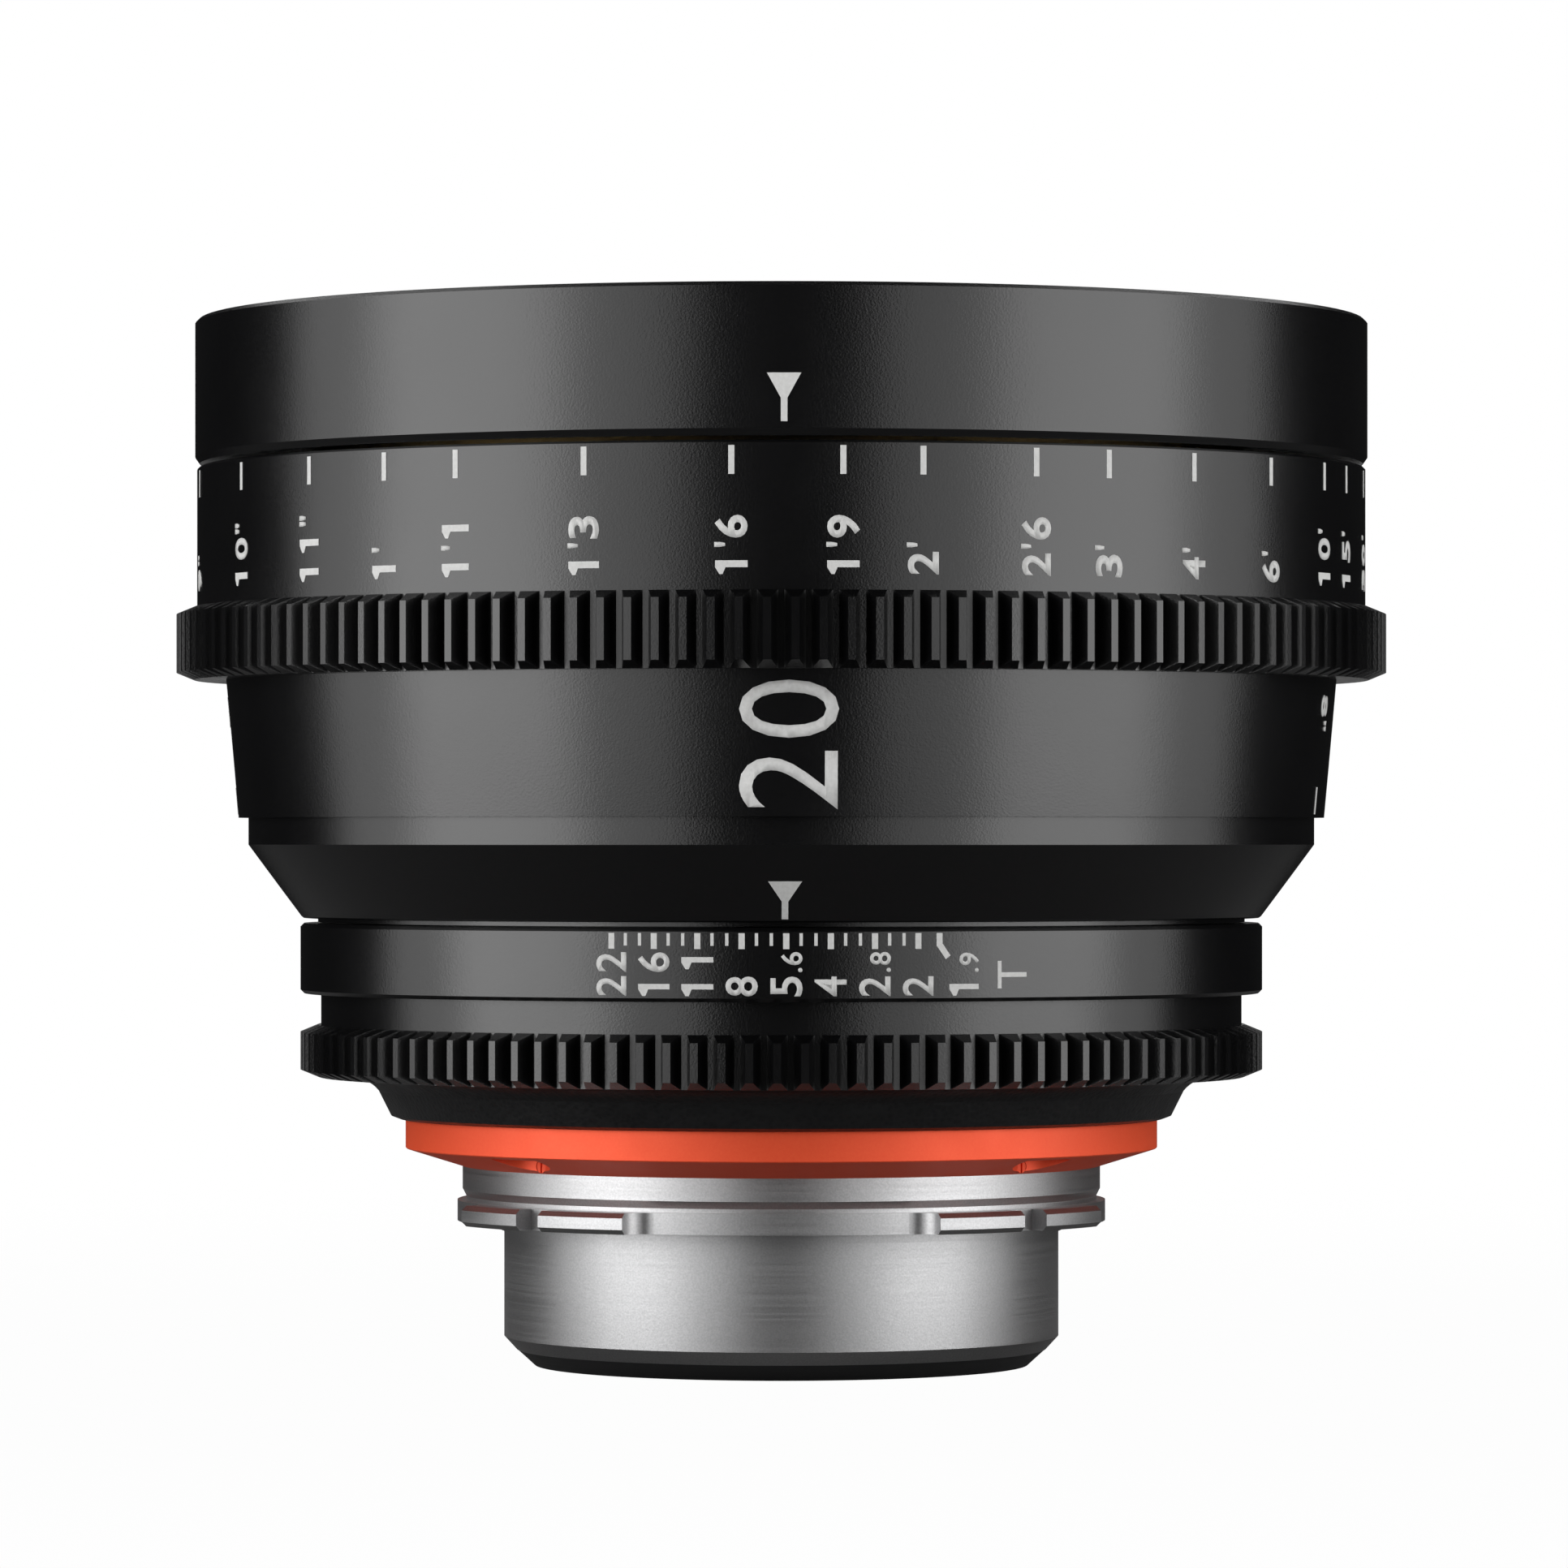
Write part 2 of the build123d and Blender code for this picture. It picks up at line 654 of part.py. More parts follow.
# Stop block of the focus ring, on the barrel's flange
with BuildPart() as focus_stop:
    stop_length = barrel_flange_radius - stop_inner_radius
    with PolarLocations(stop_circle, 1, start_angle=stop_angle):
        with Locations((0, 0, barrel_flange_front_z)):
            Box(stop_length, stop_width, stop_height, align=(Align.CENTER, Align.CENTER, Align.MIN))
    chamfer(focus_stop.edges().filter_by(Axis.Z), small_chamfer)
focus_stop.part.label = "focus_stop"
export_step(focus_stop.part, "parts/focus_stop.step")

# Rear barrel: the fixed cone between the iris ring and the focus ring
rear_edge = 0.15
rear_edge_width = 0.2

with BuildPart() as rear_barrel:
    web_bore = neck_radius + fit_gap
    room_radius = barrel_flange_radius + fit_gap
    collar_radius = rear_barrel_radius - collar_wall
    collar_front_z = focus_rear_z + collar_overlap
    revolve(
        half_section(
            (web_bore, rear_barrel_z),
            (rear_small_radius - rear_edge_width, rear_barrel_z),
            (rear_small_radius, rear_barrel_z + rear_edge),
            (rear_barrel_radius, rear_cylinder_z),
            (rear_barrel_radius, collar_front_z),
            (collar_radius, collar_front_z),
            (collar_radius, rear_cylinder_z),
            (room_radius, barrel_flange_front_z),
            (room_radius, barrel_flange_z),
            (web_bore, barrel_flange_z),
        ),
        axis=Axis.Z,
    )
    with BuildSketch(Plane.XY.offset(barrel_flange_z - rear_screw_bite)):
        add(hole_circle(rear_screw_circle, rear_screw_count, small_hole_radius))
    extrude(amount=rear_screw_bite, mode=Mode.SUBTRACT)
rear_barrel.part.label = "rear_barrel"
export_step(rear_barrel.part, "parts/rear_barrel.step")

with BuildPart() as rear_barrel_screws:
    rear_screw_length = barrel_flange_thickness - small_screw_head_height + rear_screw_bite - fit_gap
    with PolarLocations(rear_screw_circle, rear_screw_count):
        with Locations((0, 0, barrel_flange_front_z)):
            add(small_screw(rear_screw_length))
rear_barrel_screws.part.label = "rear_barrel_screws"
export_step(rear_barrel_screws.part, "parts/rear_barrel_screws.step")

# Low-friction washers at both ends of the cam sleeve
washer_levels = {"rear_thrust_washer": washer_seat_z, "front_thrust_washer": front_ring_z - washer_thickness}
for name, level in washer_levels.items():
    with BuildPart() as washer:
        with BuildSketch(Plane.XY.offset(level)):
            Circle(washer_seat_radius)
            Circle(guide_radius + pin_gap, mode=Mode.SUBTRACT)
        extrude(amount=washer_thickness)
    washer.part.label = name
    export_step(washer.part, f"parts/{name}.step")

# Front ring: the fixed ring that a clamp-on accessory holds, screwed to the end of the guide tube
with BuildPart() as front_ring:
    front_bore = front_radius - front_wall
    front_flange_z = guide_front_z + front_flange_thickness
    revolve(
        half_section(
            (guide_radius + fit_gap, front_ring_z),
            (front_radius - front_chamfer_width, front_ring_z),
            (front_radius, front_ring_z + front_chamfer_height),
            (front_radius, front_z - edge_chamfer),
            (front_radius - edge_chamfer, front_z),
            (front_bore + edge_chamfer, front_z),
            (front_bore, front_z - edge_chamfer),
            (front_bore, front_flange_z),
            (passage_radius, front_flange_z),
            (passage_radius, guide_front_z),
            (guide_radius + fit_gap, guide_front_z),
        ),
        axis=Axis.Z,
    )
    with BuildSketch(Plane.XY.offset(guide_front_z)):
        add(hole_circle(front_screw_circle, front_screw_count, small_hole_radius, front_screw_start))
    extrude(amount=front_flange_thickness, mode=Mode.SUBTRACT)
    with BuildSketch(Plane.XY.offset(front_flange_z - small_screw_head_height)):
        add(hole_circle(front_screw_circle, front_screw_count, small_recess_radius, front_screw_start))
    extrude(amount=small_screw_head_height, mode=Mode.SUBTRACT)
front_ring.part.label = "front_ring"
export_step(front_ring.part, "parts/front_ring.step")

with BuildPart() as front_ring_screws:
    front_screw_length = front_flange_thickness - small_screw_head_height + bite - fit_gap
    with PolarLocations(front_screw_circle, front_screw_count, start_angle=front_screw_start):
        with Locations((0, 0, front_flange_z)):
            add(small_screw(front_screw_length))
front_ring_screws.part.label = "front_ring_screws"
export_step(front_ring_screws.part, "parts/front_ring_screws.step")

# Front baffle: a stepped black funnel that keeps stray light off the front glass
with BuildPart() as front_baffle:
    baffle_radius = front_bore - fit_gap
    baffle_top_z = front_z - baffle_drop
    mouth_radius = baffle_radius - baffle_edge
    throat_radius = passage_radius + baffle_lip
    throat_z = front_flange_z + baffle_edge
    tread = (mouth_radius - throat_radius) / baffle_steps
    rise = (baffle_top_z - throat_z) / baffle_steps
    stairs = []
    for step in range(baffle_steps):
        edge_radius = mouth_radius - step * tread
        stairs.append((edge_radius, baffle_top_z - step * rise))
        stairs.append((edge_radius, baffle_top_z - (step + 1) * rise))
    revolve(
        half_section(
            (throat_radius, front_flange_z),
            (baffle_radius, front_flange_z),
            (baffle_radius, baffle_top_z),
            *stairs,
            (throat_radius, throat_z),
        ),
        axis=Axis.Z,
    )
front_baffle.part.label = "front_baffle"
export_step(front_baffle.part, "parts/front_baffle.step")

# Iris ring: gear teeth behind, the T scale in front, and a pin that drives the iris
with BuildPart() as iris_ring:
    iris_bore = iris_seat_radius + slide_gap
    revolve(
        half_section(
            (iris_bore, iris_rear_z),
            (iris_root_radius + tooth_foot, iris_rear_z),
            (iris_tip_radius, iris_rear_z + tooth_chamfer),
            (iris_tip_radius, iris_waist_z - tooth_chamfer),
            (iris_root_radius + tooth_foot, iris_waist_z),
            (iris_waist_radius, iris_waist_z),
            (iris_waist_radius, iris_scale_z),
            (iris_scale_radius - edge_chamfer, iris_scale_z),
            (iris_scale_radius, iris_scale_z + edge_chamfer),
            (iris_scale_radius, iris_front_z - edge_chamfer),
            (iris_scale_radius - edge_chamfer, iris_front_z),
            (iris_bore, iris_front_z),
        ),
        axis=Axis.Z,
    )
    with BuildSketch(Plane.XY.offset(iris_rear_z)):
        add(tooth_gaps(iris_teeth, iris_gap_angle))
    extrude(amount=iris_gear_width, mode=Mode.SUBTRACT)
    with PolarLocations(0, 1, start_angle=ring_pin_angle):
        with Locations((iris_bore - overrun, 0, cam_mid_z)):
            Cylinder(
                ring_pin_radius + fit_gap,
                overrun + ring_pin_depth,
                rotation=(0, 90, 0),
                align=(Align.CENTER, Align.CENTER, Align.MIN),
                mode=Mode.SUBTRACT,
            )
iris_ring.part.label = "iris_ring"
export_step(iris_ring.part, "parts/iris_ring.step")

with BuildPart() as iris_drive_pin:
    pin_tip_radius = fork_root_radius + ring_pin_tip_gap
    with PolarLocations(0, 1, start_angle=ring_pin_angle):
        with Locations((pin_tip_radius, 0, cam_mid_z)):
            Cylinder(
                ring_pin_radius,
                iris_bore + ring_pin_depth - fit_gap - pin_tip_radius,
                rotation=(0, 90, 0),
                align=(Align.CENTER, Align.CENTER, Align.MIN),
            )
iris_drive_pin.part.label = "iris_drive_pin"
export_step(iris_drive_pin.part, "parts/iris_drive_pin.step")

# Focus ring: skirt behind, gear teeth in the middle, distance scale in front
sleeve_screw_count = 6

with BuildPart() as focus_ring:
    skirt_bore = rear_barrel_radius + skirt_gap
    skirt_inner = skirt_front_radius - skirt_wall
    skirt_step_z = focus_rear_z + collar_overlap + collar_clearance
    web_bore = sleeve_radius + fit_gap
    web_rear_z = sleeve_flange_z - web_thickness
    band_bore = focus_scale_radius - band_wall
    revolve(
        half_section(
            (skirt_bore, focus_rear_z),
            (skirt_rear_radius, focus_rear_z),
            (skirt_front_radius, focus_gear_z),
            (focus_root_radius + tooth_foot, focus_gear_z),
            (focus_tip_radius, focus_gear_z + tooth_chamfer),
            (focus_tip_radius, focus_scale_z - tooth_chamfer),
            (focus_root_radius + tooth_foot, focus_scale_z),
            (focus_scale_radius, focus_scale_z),
            (focus_scale_radius, focus_front_z - small_chamfer),
            (focus_scale_radius - small_chamfer, focus_front_z),
            (band_bore, focus_front_z),
            (band_bore, sleeve_flange_z),
            (web_bore, sleeve_flange_z),
            (web_bore, web_rear_z),
            (skirt_inner, web_rear_z),
            (skirt_inner, skirt_step_z),
            (skirt_bore, skirt_step_z),
        ),
        axis=Axis.Z,
    )
    with BuildSketch(Plane.XY.offset(focus_gear_z)):
        add(tooth_gaps(focus_teeth, focus_gap_angle))
    extrude(amount=focus_gear_width, mode=Mode.SUBTRACT)
    with BuildSketch(Plane.XY.offset(sleeve_flange_z - bite)):
        add(hole_circle(sleeve_screw_circle, sleeve_screw_count, screw_radius + fit_gap))
    extrude(amount=bite, mode=Mode.SUBTRACT)
focus_ring.part.label = "focus_ring"
export_step(focus_ring.part, "parts/focus_ring.step")

# Cam sleeve: turns with the focus ring, and its helical slots push the rollers of the optics along
stop_skirt_gap = 0.8
cam_lead = 2 * pi * focus_rise

with BuildPart() as cam_sleeve:
    revolve(
        half_section(
            (sleeve_bore, sleeve_rear_z),
            (sleeve_radius, sleeve_rear_z),
            (sleeve_radius, sleeve_flange_z),
            (sleeve_flange_radius, sleeve_flange_z),
            (sleeve_flange_radius, sleeve_flange_z + sleeve_flange_thickness),
            (sleeve_radius, sleeve_flange_z + sleeve_flange_thickness),
            (sleeve_radius, sleeve_front_z),
            (sleeve_bore, sleeve_front_z),
        ),
        axis=Axis.Z,
    )
    # Skirt whose two ends meet the stop block
    skirt_bottom_z = barrel_flange_front_z + stop_skirt_gap
    stop_half_angle = degrees((stop_width / 2 + stop_gap) / stop_inner_radius)
    with BuildSketch(Plane.XY.offset(skirt_bottom_z)):
        arc_start = stop_angle + stop_half_angle - focus_far_turn
        arc_end = stop_angle + 360 - stop_half_angle - focus_near_turn
        add(ring_sector(stop_inner_radius, sleeve_radius, arc_start, arc_end))
    extrude(amount=sleeve_rear_z - skirt_bottom_z)
    with BuildSketch(Plane.XY.offset(sleeve_flange_z)):
        add(hole_circle(sleeve_screw_circle, sleeve_screw_count, screw_radius + fit_gap))
    extrude(amount=sleeve_flange_thickness, mode=Mode.SUBTRACT)
    # Helical slots, cut along the path that each roller takes in the sleeve
    slot_mid_radius = (sleeve_bore + sleeve_radius) / 2
    slot_ease = degrees(stop_gap / slot_mid_radius)
    far_turn = focus_far_turn - slot_ease
    near_turn = focus_near_turn + slot_ease
    for angle, level in zip(roller_angles, roller_levels):
        start_level = level + focus_rise * radians(far_turn)
        end_level = level + focus_rise * radians(near_turn)
        start_angle = radians(angle - far_turn)
        end_angle = radians(angle - near_turn)
        start_plane = Plane((0, 0, start_level), x_dir=(cos(start_angle), sin(start_angle), 0))
        rise_of_slot = end_level - start_level
        helix = Helix(cam_lead, rise_of_slot, slot_mid_radius, lefthand=True, mode=Mode.PRIVATE)
        path = start_plane.location * helix
        with BuildSketch(Plane(path @ 0, x_dir=(cos(start_angle), sin(start_angle), 0), z_dir=path % 0)):
            Rectangle(sleeve_wall + 2 * overrun, 2 * roller_slot_radius)
        sweep(path=path, is_frenet=True, mode=Mode.SUBTRACT)
        for end, end_z in ((start_angle, start_level), (end_angle, end_level)):
            end_plane = Plane((0, 0, end_z), x_dir=(0, 0, 1), z_dir=(cos(end), sin(end), 0))
            with BuildSketch(end_plane.offset(sleeve_bore - overrun)):
                Circle(roller_slot_radius)
            extrude(amount=sleeve_wall + 2 * overrun, mode=Mode.SUBTRACT)
cam_sleeve.part.label = "cam_sleeve"
export_step(cam_sleeve.part, "parts/cam_sleeve.step")

with BuildPart() as cam_sleeve_screws:
    with PolarLocations(sleeve_screw_circle, sleeve_screw_count):
        with Locations((0, 0, sleeve_flange_z + sleeve_flange_thickness + screw_head_height)):
            add(screw(sleeve_flange_thickness + bite - fit_gap))
cam_sleeve_screws.part.label = "cam_sleeve_screws"
export_step(cam_sleeve_screws.part, "parts/cam_sleeve_screws.step")

# Lens carrier: the sliding tube that holds the optical cells and houses the iris
cell_screw_count = 3
cell_screw_bite = 3.0
cell_screw_start = 30.0
front_cell_screw_circle = (carrier_bore + carrier_radius) / 2
middle_flange_radius = middle_cell_radius + 3.5
middle_flange_thickness = 1.5
middle_screw_circle = middle_flange_radius - small_screw_head_radius - fit_gap
rear_cell_screw_start = 45.0
rear_cell_screw_count = 4

with BuildPart() as lens_carrier:
    plate_bore = seat_plate_radius + fit_gap
    thrust_z = cam_front_z + face_gap
    revolve(
        half_section(
            (middle_cell_radius + fit_gap, thrust_z),
            (housing_bore, thrust_z),
            (housing_bore, seat_plate_front_z),
            (plate_bore, seat_plate_front_z),
            (plate_bore, housing_rear_z),
            (housing_radius, housing_rear_z),
            (housing_radius, carrier_rear_z),
            (carrier_radius, carrier_rear_z),
            (carrier_radius, carrier_front_z),
            (carrier_bore, carrier_front_z),
            (carrier_bore, carrier_web_z),
            (middle_cell_radius + fit_gap, carrier_web_z),
        ),
        axis=Axis.Z,
    )
    # Window through which the arm of the cam ring reaches the pin of the iris ring
    with BuildSketch(Plane.XY.offset(housing_rear_z)):
        arm_half_angle = degrees(cam_arm_width / 2 / housing_bore) + cam_slot_ease
        window_start = ring_pin_angle + iris_open_turn - arm_half_angle
        window_end = ring_pin_angle + iris_closed_turn + arm_half_angle
        add(ring_sector(cam_radius - overrun, housing_radius + overrun, window_start, window_end))
    extrude(amount=thrust_z - housing_rear_z, mode=Mode.SUBTRACT)
    for angle, level in zip(roller_angles, roller_levels):
        axle_plane = Plane(
            origin=(0, 0, level), x_dir=(0, 0, 1), z_dir=(cos(radians(angle)), sin(radians(angle)), 0)
        )
        with BuildSketch(axle_plane.offset(carrier_bore - overrun)):
            Circle(roller_axle_radius + fit_gap)
        extrude(amount=carrier_wall + 2 * overrun, mode=Mode.SUBTRACT)
    with BuildSketch(Plane.XY.offset(carrier_front_z - cell_screw_bite)):
        add(
            hole_circle(
                front_cell_screw_circle, cell_screw_count, small_hole_radius, cell_screw_start
            )
        )
    extrude(amount=cell_screw_bite, mode=Mode.SUBTRACT)
    with BuildSketch(Plane.XY.offset(carrier_web_z - cell_screw_bite)):
        add(hole_circle(middle_screw_circle, cell_screw_count, small_hole_radius, cell_screw_start))
    extrude(amount=cell_screw_bite, mode=Mode.SUBTRACT)
    with BuildSketch(Plane.XY.offset(housing_rear_z)):
        add(
            hole_circle(
                rear_cell_screw_circle, rear_cell_screw_count, small_hole_radius, rear_cell_screw_start
            )
        )
    extrude(amount=cell_screw_bite, mode=Mode.SUBTRACT)
lens_carrier.part.label = "lens_carrier"
export_step(lens_carrier.part, "parts/lens_carrier.step")

# Guide rollers on their axles, which are pressed into the wall of the carrier
with BuildPart() as guide_rollers:
    roller_tip_gap = pin_gap + small_chamfer
    for angle, level in zip(roller_angles, roller_levels):
        roller_plane = Plane(
            origin=(0, 0, level), x_dir=(0, 0, 1), z_dir=(cos(radians(angle)), sin(radians(angle)), 0)
        )
        with BuildSketch(roller_plane.offset(carrier_radius + fit_gap)):
            Circle(roller_radius)
        extrude(amount=sleeve_radius - roller_tip_gap - carrier_radius - fit_gap)
        with BuildSketch(roller_plane.offset(carrier_bore + small_chamfer)):
            Circle(roller_axle_radius)
        extrude(amount=carrier_wall)
guide_rollers.part.label = "guide_rollers"
export_step(guide_rollers.part, "parts/guide_rollers.step")

# Rows of the element tables, as sizes: rim radius, radius of the front and the rear curve, level of the
# rim's rear and front face, and bulge of the front and the rear curve
rear_flange_z = rear_cell_front_z - rear_cell_flange_thickness
element_groups = {
    "front": [glass_shares(*row) for row in front_element_shares],
    "middle": [glass_shares(*row) for row in middle_element_shares],
    "rear": [glass_shares(*row) for row in rear_element_shares],
}
group_levels = {"front": carrier_front_z, "middle": carrier_front_z, "rear": rear_flange_z}
elements = []
for group, rows in element_groups.items():
    for rim, front_curve, rear_curve, rim_rear, rim_front, front_bulge, rear_bulge in rows:
        base = group_levels[group]
        levels = (base + rim_rear, base + rim_front)
        elements.append((rim, front_curve, rear_curve, *levels, front_bulge, rear_bulge))

for number, (rim, front_curve, rear_curve, rim_rear_z, rim_front_z, front_bulge, rear_bulge) in enumerate(
    elements, start=1
):
    with BuildPart() as element:
        with BuildSketch(Plane.XZ):
            with BuildLine():
                front_sphere = (front_curve**2 + front_bulge**2) / (2 * abs(front_bulge))
                rear_sphere = (rear_curve**2 + rear_bulge**2) / (2 * abs(rear_bulge))
                front_vertex_z = rim_front_z + front_bulge
                rear_vertex_z = rim_rear_z - rear_bulge
                half_front = front_sphere - sqrt(front_sphere**2 - (front_curve / 2) ** 2)
                half_rear = rear_sphere - sqrt(rear_sphere**2 - (rear_curve / 2) ** 2)
                front_side = 1 if front_bulge > 0 else -1
                rear_side = 1 if rear_bulge > 0 else -1
                ThreePointArc(
                    (0, front_vertex_z),
                    (front_curve / 2, front_vertex_z - front_side * half_front),
                    (front_curve, rim_front_z),
                )
                Polyline(
                    (front_curve, rim_front_z),
                    (rim, rim_front_z),
                    (rim, rim_rear_z),
                    (rear_curve, rim_rear_z),
                )
                ThreePointArc(
                    (rear_curve, rim_rear_z),
                    (rear_curve / 2, rear_vertex_z + rear_side * half_rear),
                    (0, rear_vertex_z),
                )
                Line((0, rear_vertex_z), (0, front_vertex_z))
            make_face()
        revolve(axis=Axis.Z)
    element.part.label = f"lens_element_{number:02d}"
    export_step(element.part, f"parts/lens_element_{number:02d}.step")

front_rows = elements[: len(front_element_shares)]
middle_rows = elements[len(front_rows) : len(front_rows) + len(middle_element_shares)]
rear_rows = elements[len(front_rows) + len(middle_rows) :]
cell_end = 3.0  # length of cell beyond the last element
middle_cell_end = 1.5  # the same behind the middle group, where the iris is close

# Front cell: a stepped barrel whose flange closes the carrier round the front glass
with BuildPart() as front_cell:
    cell_front_z = carrier_front_z + cell_flange_thickness
    cell_land_z = carrier_front_z - cell_land_height
    cell_neck_z = cell_land_z - cell_neck_height
    cell_rear_z = front_rows[-1][3] - cell_end
    aperture_radius = front_rows[-1][0] - cell_lip
    revolve(
        half_section(
            (aperture_radius, cell_rear_z),
            (cell_tail_radius, cell_rear_z),
            (cell_tail_radius, cell_neck_z),
            (cell_neck_radius, cell_neck_z),
            (cell_neck_radius, cell_land_z),
            (carrier_bore - fit_gap, cell_land_z),
            (carrier_bore - fit_gap, carrier_front_z),
            (carrier_radius, carrier_front_z),
            (carrier_radius, cell_front_z - small_chamfer),
            (carrier_radius - small_chamfer, cell_front_z),
            (aperture_radius, cell_front_z),
        ),
        axis=Axis.Z,
    )
    for rim, _, _, rim_rear_z, *_ in front_rows:
        with BuildSketch(Plane.XY.offset(rim_rear_z)):
            Circle(rim + fit_gap)
        extrude(amount=cell_front_z - rim_rear_z, mode=Mode.SUBTRACT)
    with BuildSketch(Plane.XY.offset(carrier_front_z)):
        add(
            hole_circle(
                front_cell_screw_circle, cell_screw_count, small_hole_radius, cell_screw_start
            )
        )
    extrude(amount=cell_flange_thickness, mode=Mode.SUBTRACT)
    with BuildSketch(Plane.XY.offset(cell_front_z - small_screw_head_height)):
        add(
            hole_circle(
                front_cell_screw_circle, cell_screw_count, small_recess_radius, cell_screw_start
            )
        )
    extrude(amount=small_screw_head_height, mode=Mode.SUBTRACT)
front_cell.part.label = "front_cell"
export_step(front_cell.part, "parts/front_cell.step")

# Middle cell, between the front group and the iris
with BuildPart() as middle_cell:
    middle_front_z = middle_rows[0][4] + cell_end
    middle_rear_z = middle_rows[-1][3] - middle_cell_end
    middle_neck_radius = middle_cell_radius - cell_lip
    revolve(
        half_section(
            (middle_rows[-1][0] - cell_lip, middle_rear_z),
            (middle_cell_radius, middle_rear_z),
            (middle_cell_radius, carrier_web_z),
            (middle_flange_radius, carrier_web_z),
            (middle_flange_radius, carrier_web_z + middle_flange_thickness),
            (middle_neck_radius, carrier_web_z + middle_flange_thickness),
            (middle_neck_radius, middle_front_z),
            (middle_rows[-1][0] - cell_lip, middle_front_z),
        ),
        axis=Axis.Z,
    )
    for rim, _, _, rim_rear_z, *_ in middle_rows:
        with BuildSketch(Plane.XY.offset(rim_rear_z)):
            Circle(rim + fit_gap)
        extrude(amount=middle_front_z - rim_rear_z, mode=Mode.SUBTRACT)
    with BuildSketch(Plane.XY.offset(carrier_web_z)):
        add(hole_circle(middle_screw_circle, cell_screw_count, small_hole_radius, cell_screw_start))
    extrude(amount=middle_flange_thickness, mode=Mode.SUBTRACT)
middle_cell.part.label = "middle_cell"
export_step(middle_cell.part, "parts/middle_cell.step")

# Rear cell: runs inside the steel mount, and its flange closes the iris housing
with BuildPart() as rear_cell:
    rear_cell_rear_z = rear_rows[-1][3] - cell_end
    rear_aperture_radius = rear_rows[0][0] - cell_lip
    clamp_radius = seat_plate_radius - fit_gap
    clamp_bore = rear_cell_radius
    revolve(
        half_section(
            (rear_aperture_radius, rear_cell_rear_z),
            (rear_cell_radius, rear_cell_rear_z),
            (rear_cell_radius, rear_flange_z),
            (rear_cell_flange_radius, rear_flange_z),
            (rear_cell_flange_radius, rear_cell_front_z),
            (clamp_radius, rear_cell_front_z),
            (clamp_radius, seat_plate_rear_z),
            (clamp_bore, seat_plate_rear_z),
            (clamp_bore, rear_cell_front_z),
            (rear_aperture_radius, rear_cell_front_z),
        ),
        axis=Axis.Z,
    )
    for rim, _, _, _, rim_front_z, *_ in rear_rows:
        with BuildSketch(Plane.XY.offset(rim_front_z)):
            Circle(rim + fit_gap)
        extrude(amount=rear_cell_rear_z - rim_front_z, mode=Mode.SUBTRACT)
    with BuildSketch(Plane.XY.offset(rear_flange_z)):
        add(
            hole_circle(
                rear_cell_screw_circle, rear_cell_screw_count, small_hole_radius, rear_cell_screw_start
            )
        )
    extrude(amount=rear_cell_flange_thickness, mode=Mode.SUBTRACT)
    with BuildSketch(Plane.XY.offset(rear_flange_z)):
        add(
            hole_circle(
                rear_cell_screw_circle, rear_cell_screw_count, small_recess_radius, rear_cell_screw_start
            )
        )
    extrude(amount=small_screw_head_height, mode=Mode.SUBTRACT)
rear_cell.part.label = "rear_cell"
export_step(rear_cell.part, "parts/rear_cell.step")

# Retaining rings: each is screwed into a cell against the flat rim of its outermost element
retainers = {
    "front_retaining_ring": (front_rows[0][0], front_rows[0][1], front_rows[0][4], cell_front_z),
    "middle_retaining_ring": (middle_rows[0][0], middle_rows[0][1], middle_rows[0][4], middle_front_z),
    "rear_retaining_ring": (rear_rows[-1][0], rear_rows[-1][2], rear_cell_rear_z, rear_rows[-1][3]),
}
for name, (outer, curve, bottom_z, top_z) in retainers.items():
    with BuildPart() as retainer:
        with BuildSketch(Plane.XY.offset(bottom_z)):
            Circle(outer)
            Circle(curve + retainer_clearance, mode=Mode.SUBTRACT)
        extrude(amount=top_z - bottom_z)
    retainer.part.label = name
    export_step(retainer.part, f"parts/{name}.step")

# Spacers between the rims of neighbouring elements
spacer_pairs = (
    ("front_spacer_1", front_rows[0], front_rows[1]),
    ("front_spacer_2", front_rows[1], front_rows[2]),
    ("front_spacer_3", front_rows[2], front_rows[3]),
    ("rear_spacer", rear_rows[2], rear_rows[3]),
)
for name, ahead, behind in spacer_pairs:
    with BuildPart() as spacer:
        with BuildSketch(Plane.XY.offset(behind[4])):
            Circle(min(ahead[0], behind[0]))
            Circle(max(ahead[2], behind[1]) + retainer_clearance, mode=Mode.SUBTRACT)
        extrude(amount=ahead[3] - behind[4])
    spacer.part.label = name
    export_step(spacer.part, f"parts/{name}.step")

# Screws of the cells
cell_screw_sets = {
    "front_cell_screws": (
        front_cell_screw_circle,
        cell_screw_count,
        cell_screw_start,
        cell_front_z,
        cell_flange_thickness - small_screw_head_height,
        0,
    ),
    "middle_cell_screws": (
        middle_screw_circle,
        cell_screw_count,
        cell_screw_start,
        carrier_web_z + middle_flange_thickness + small_screw_head_height,
        middle_flange_thickness,
        0,
    ),
    "rear_cell_screws": (
        rear_cell_screw_circle,
        rear_cell_screw_count,
        rear_cell_screw_start,
        rear_flange_z,
        rear_cell_flange_thickness - small_screw_head_height,
        180,
    ),
}
for name, (circle, count, start, head_z, flange, flip) in cell_screw_sets.items():
    with BuildPart() as screws:
        length = flange + cell_screw_bite - fit_gap
        with PolarLocations(circle, count, start_angle=start):
            with Locations((0, 0, head_z)):
                add(small_screw(length), rotation=(flip, 0, 0))
    screws.part.label = name
    export_step(screws.part, f"parts/{name}.step")

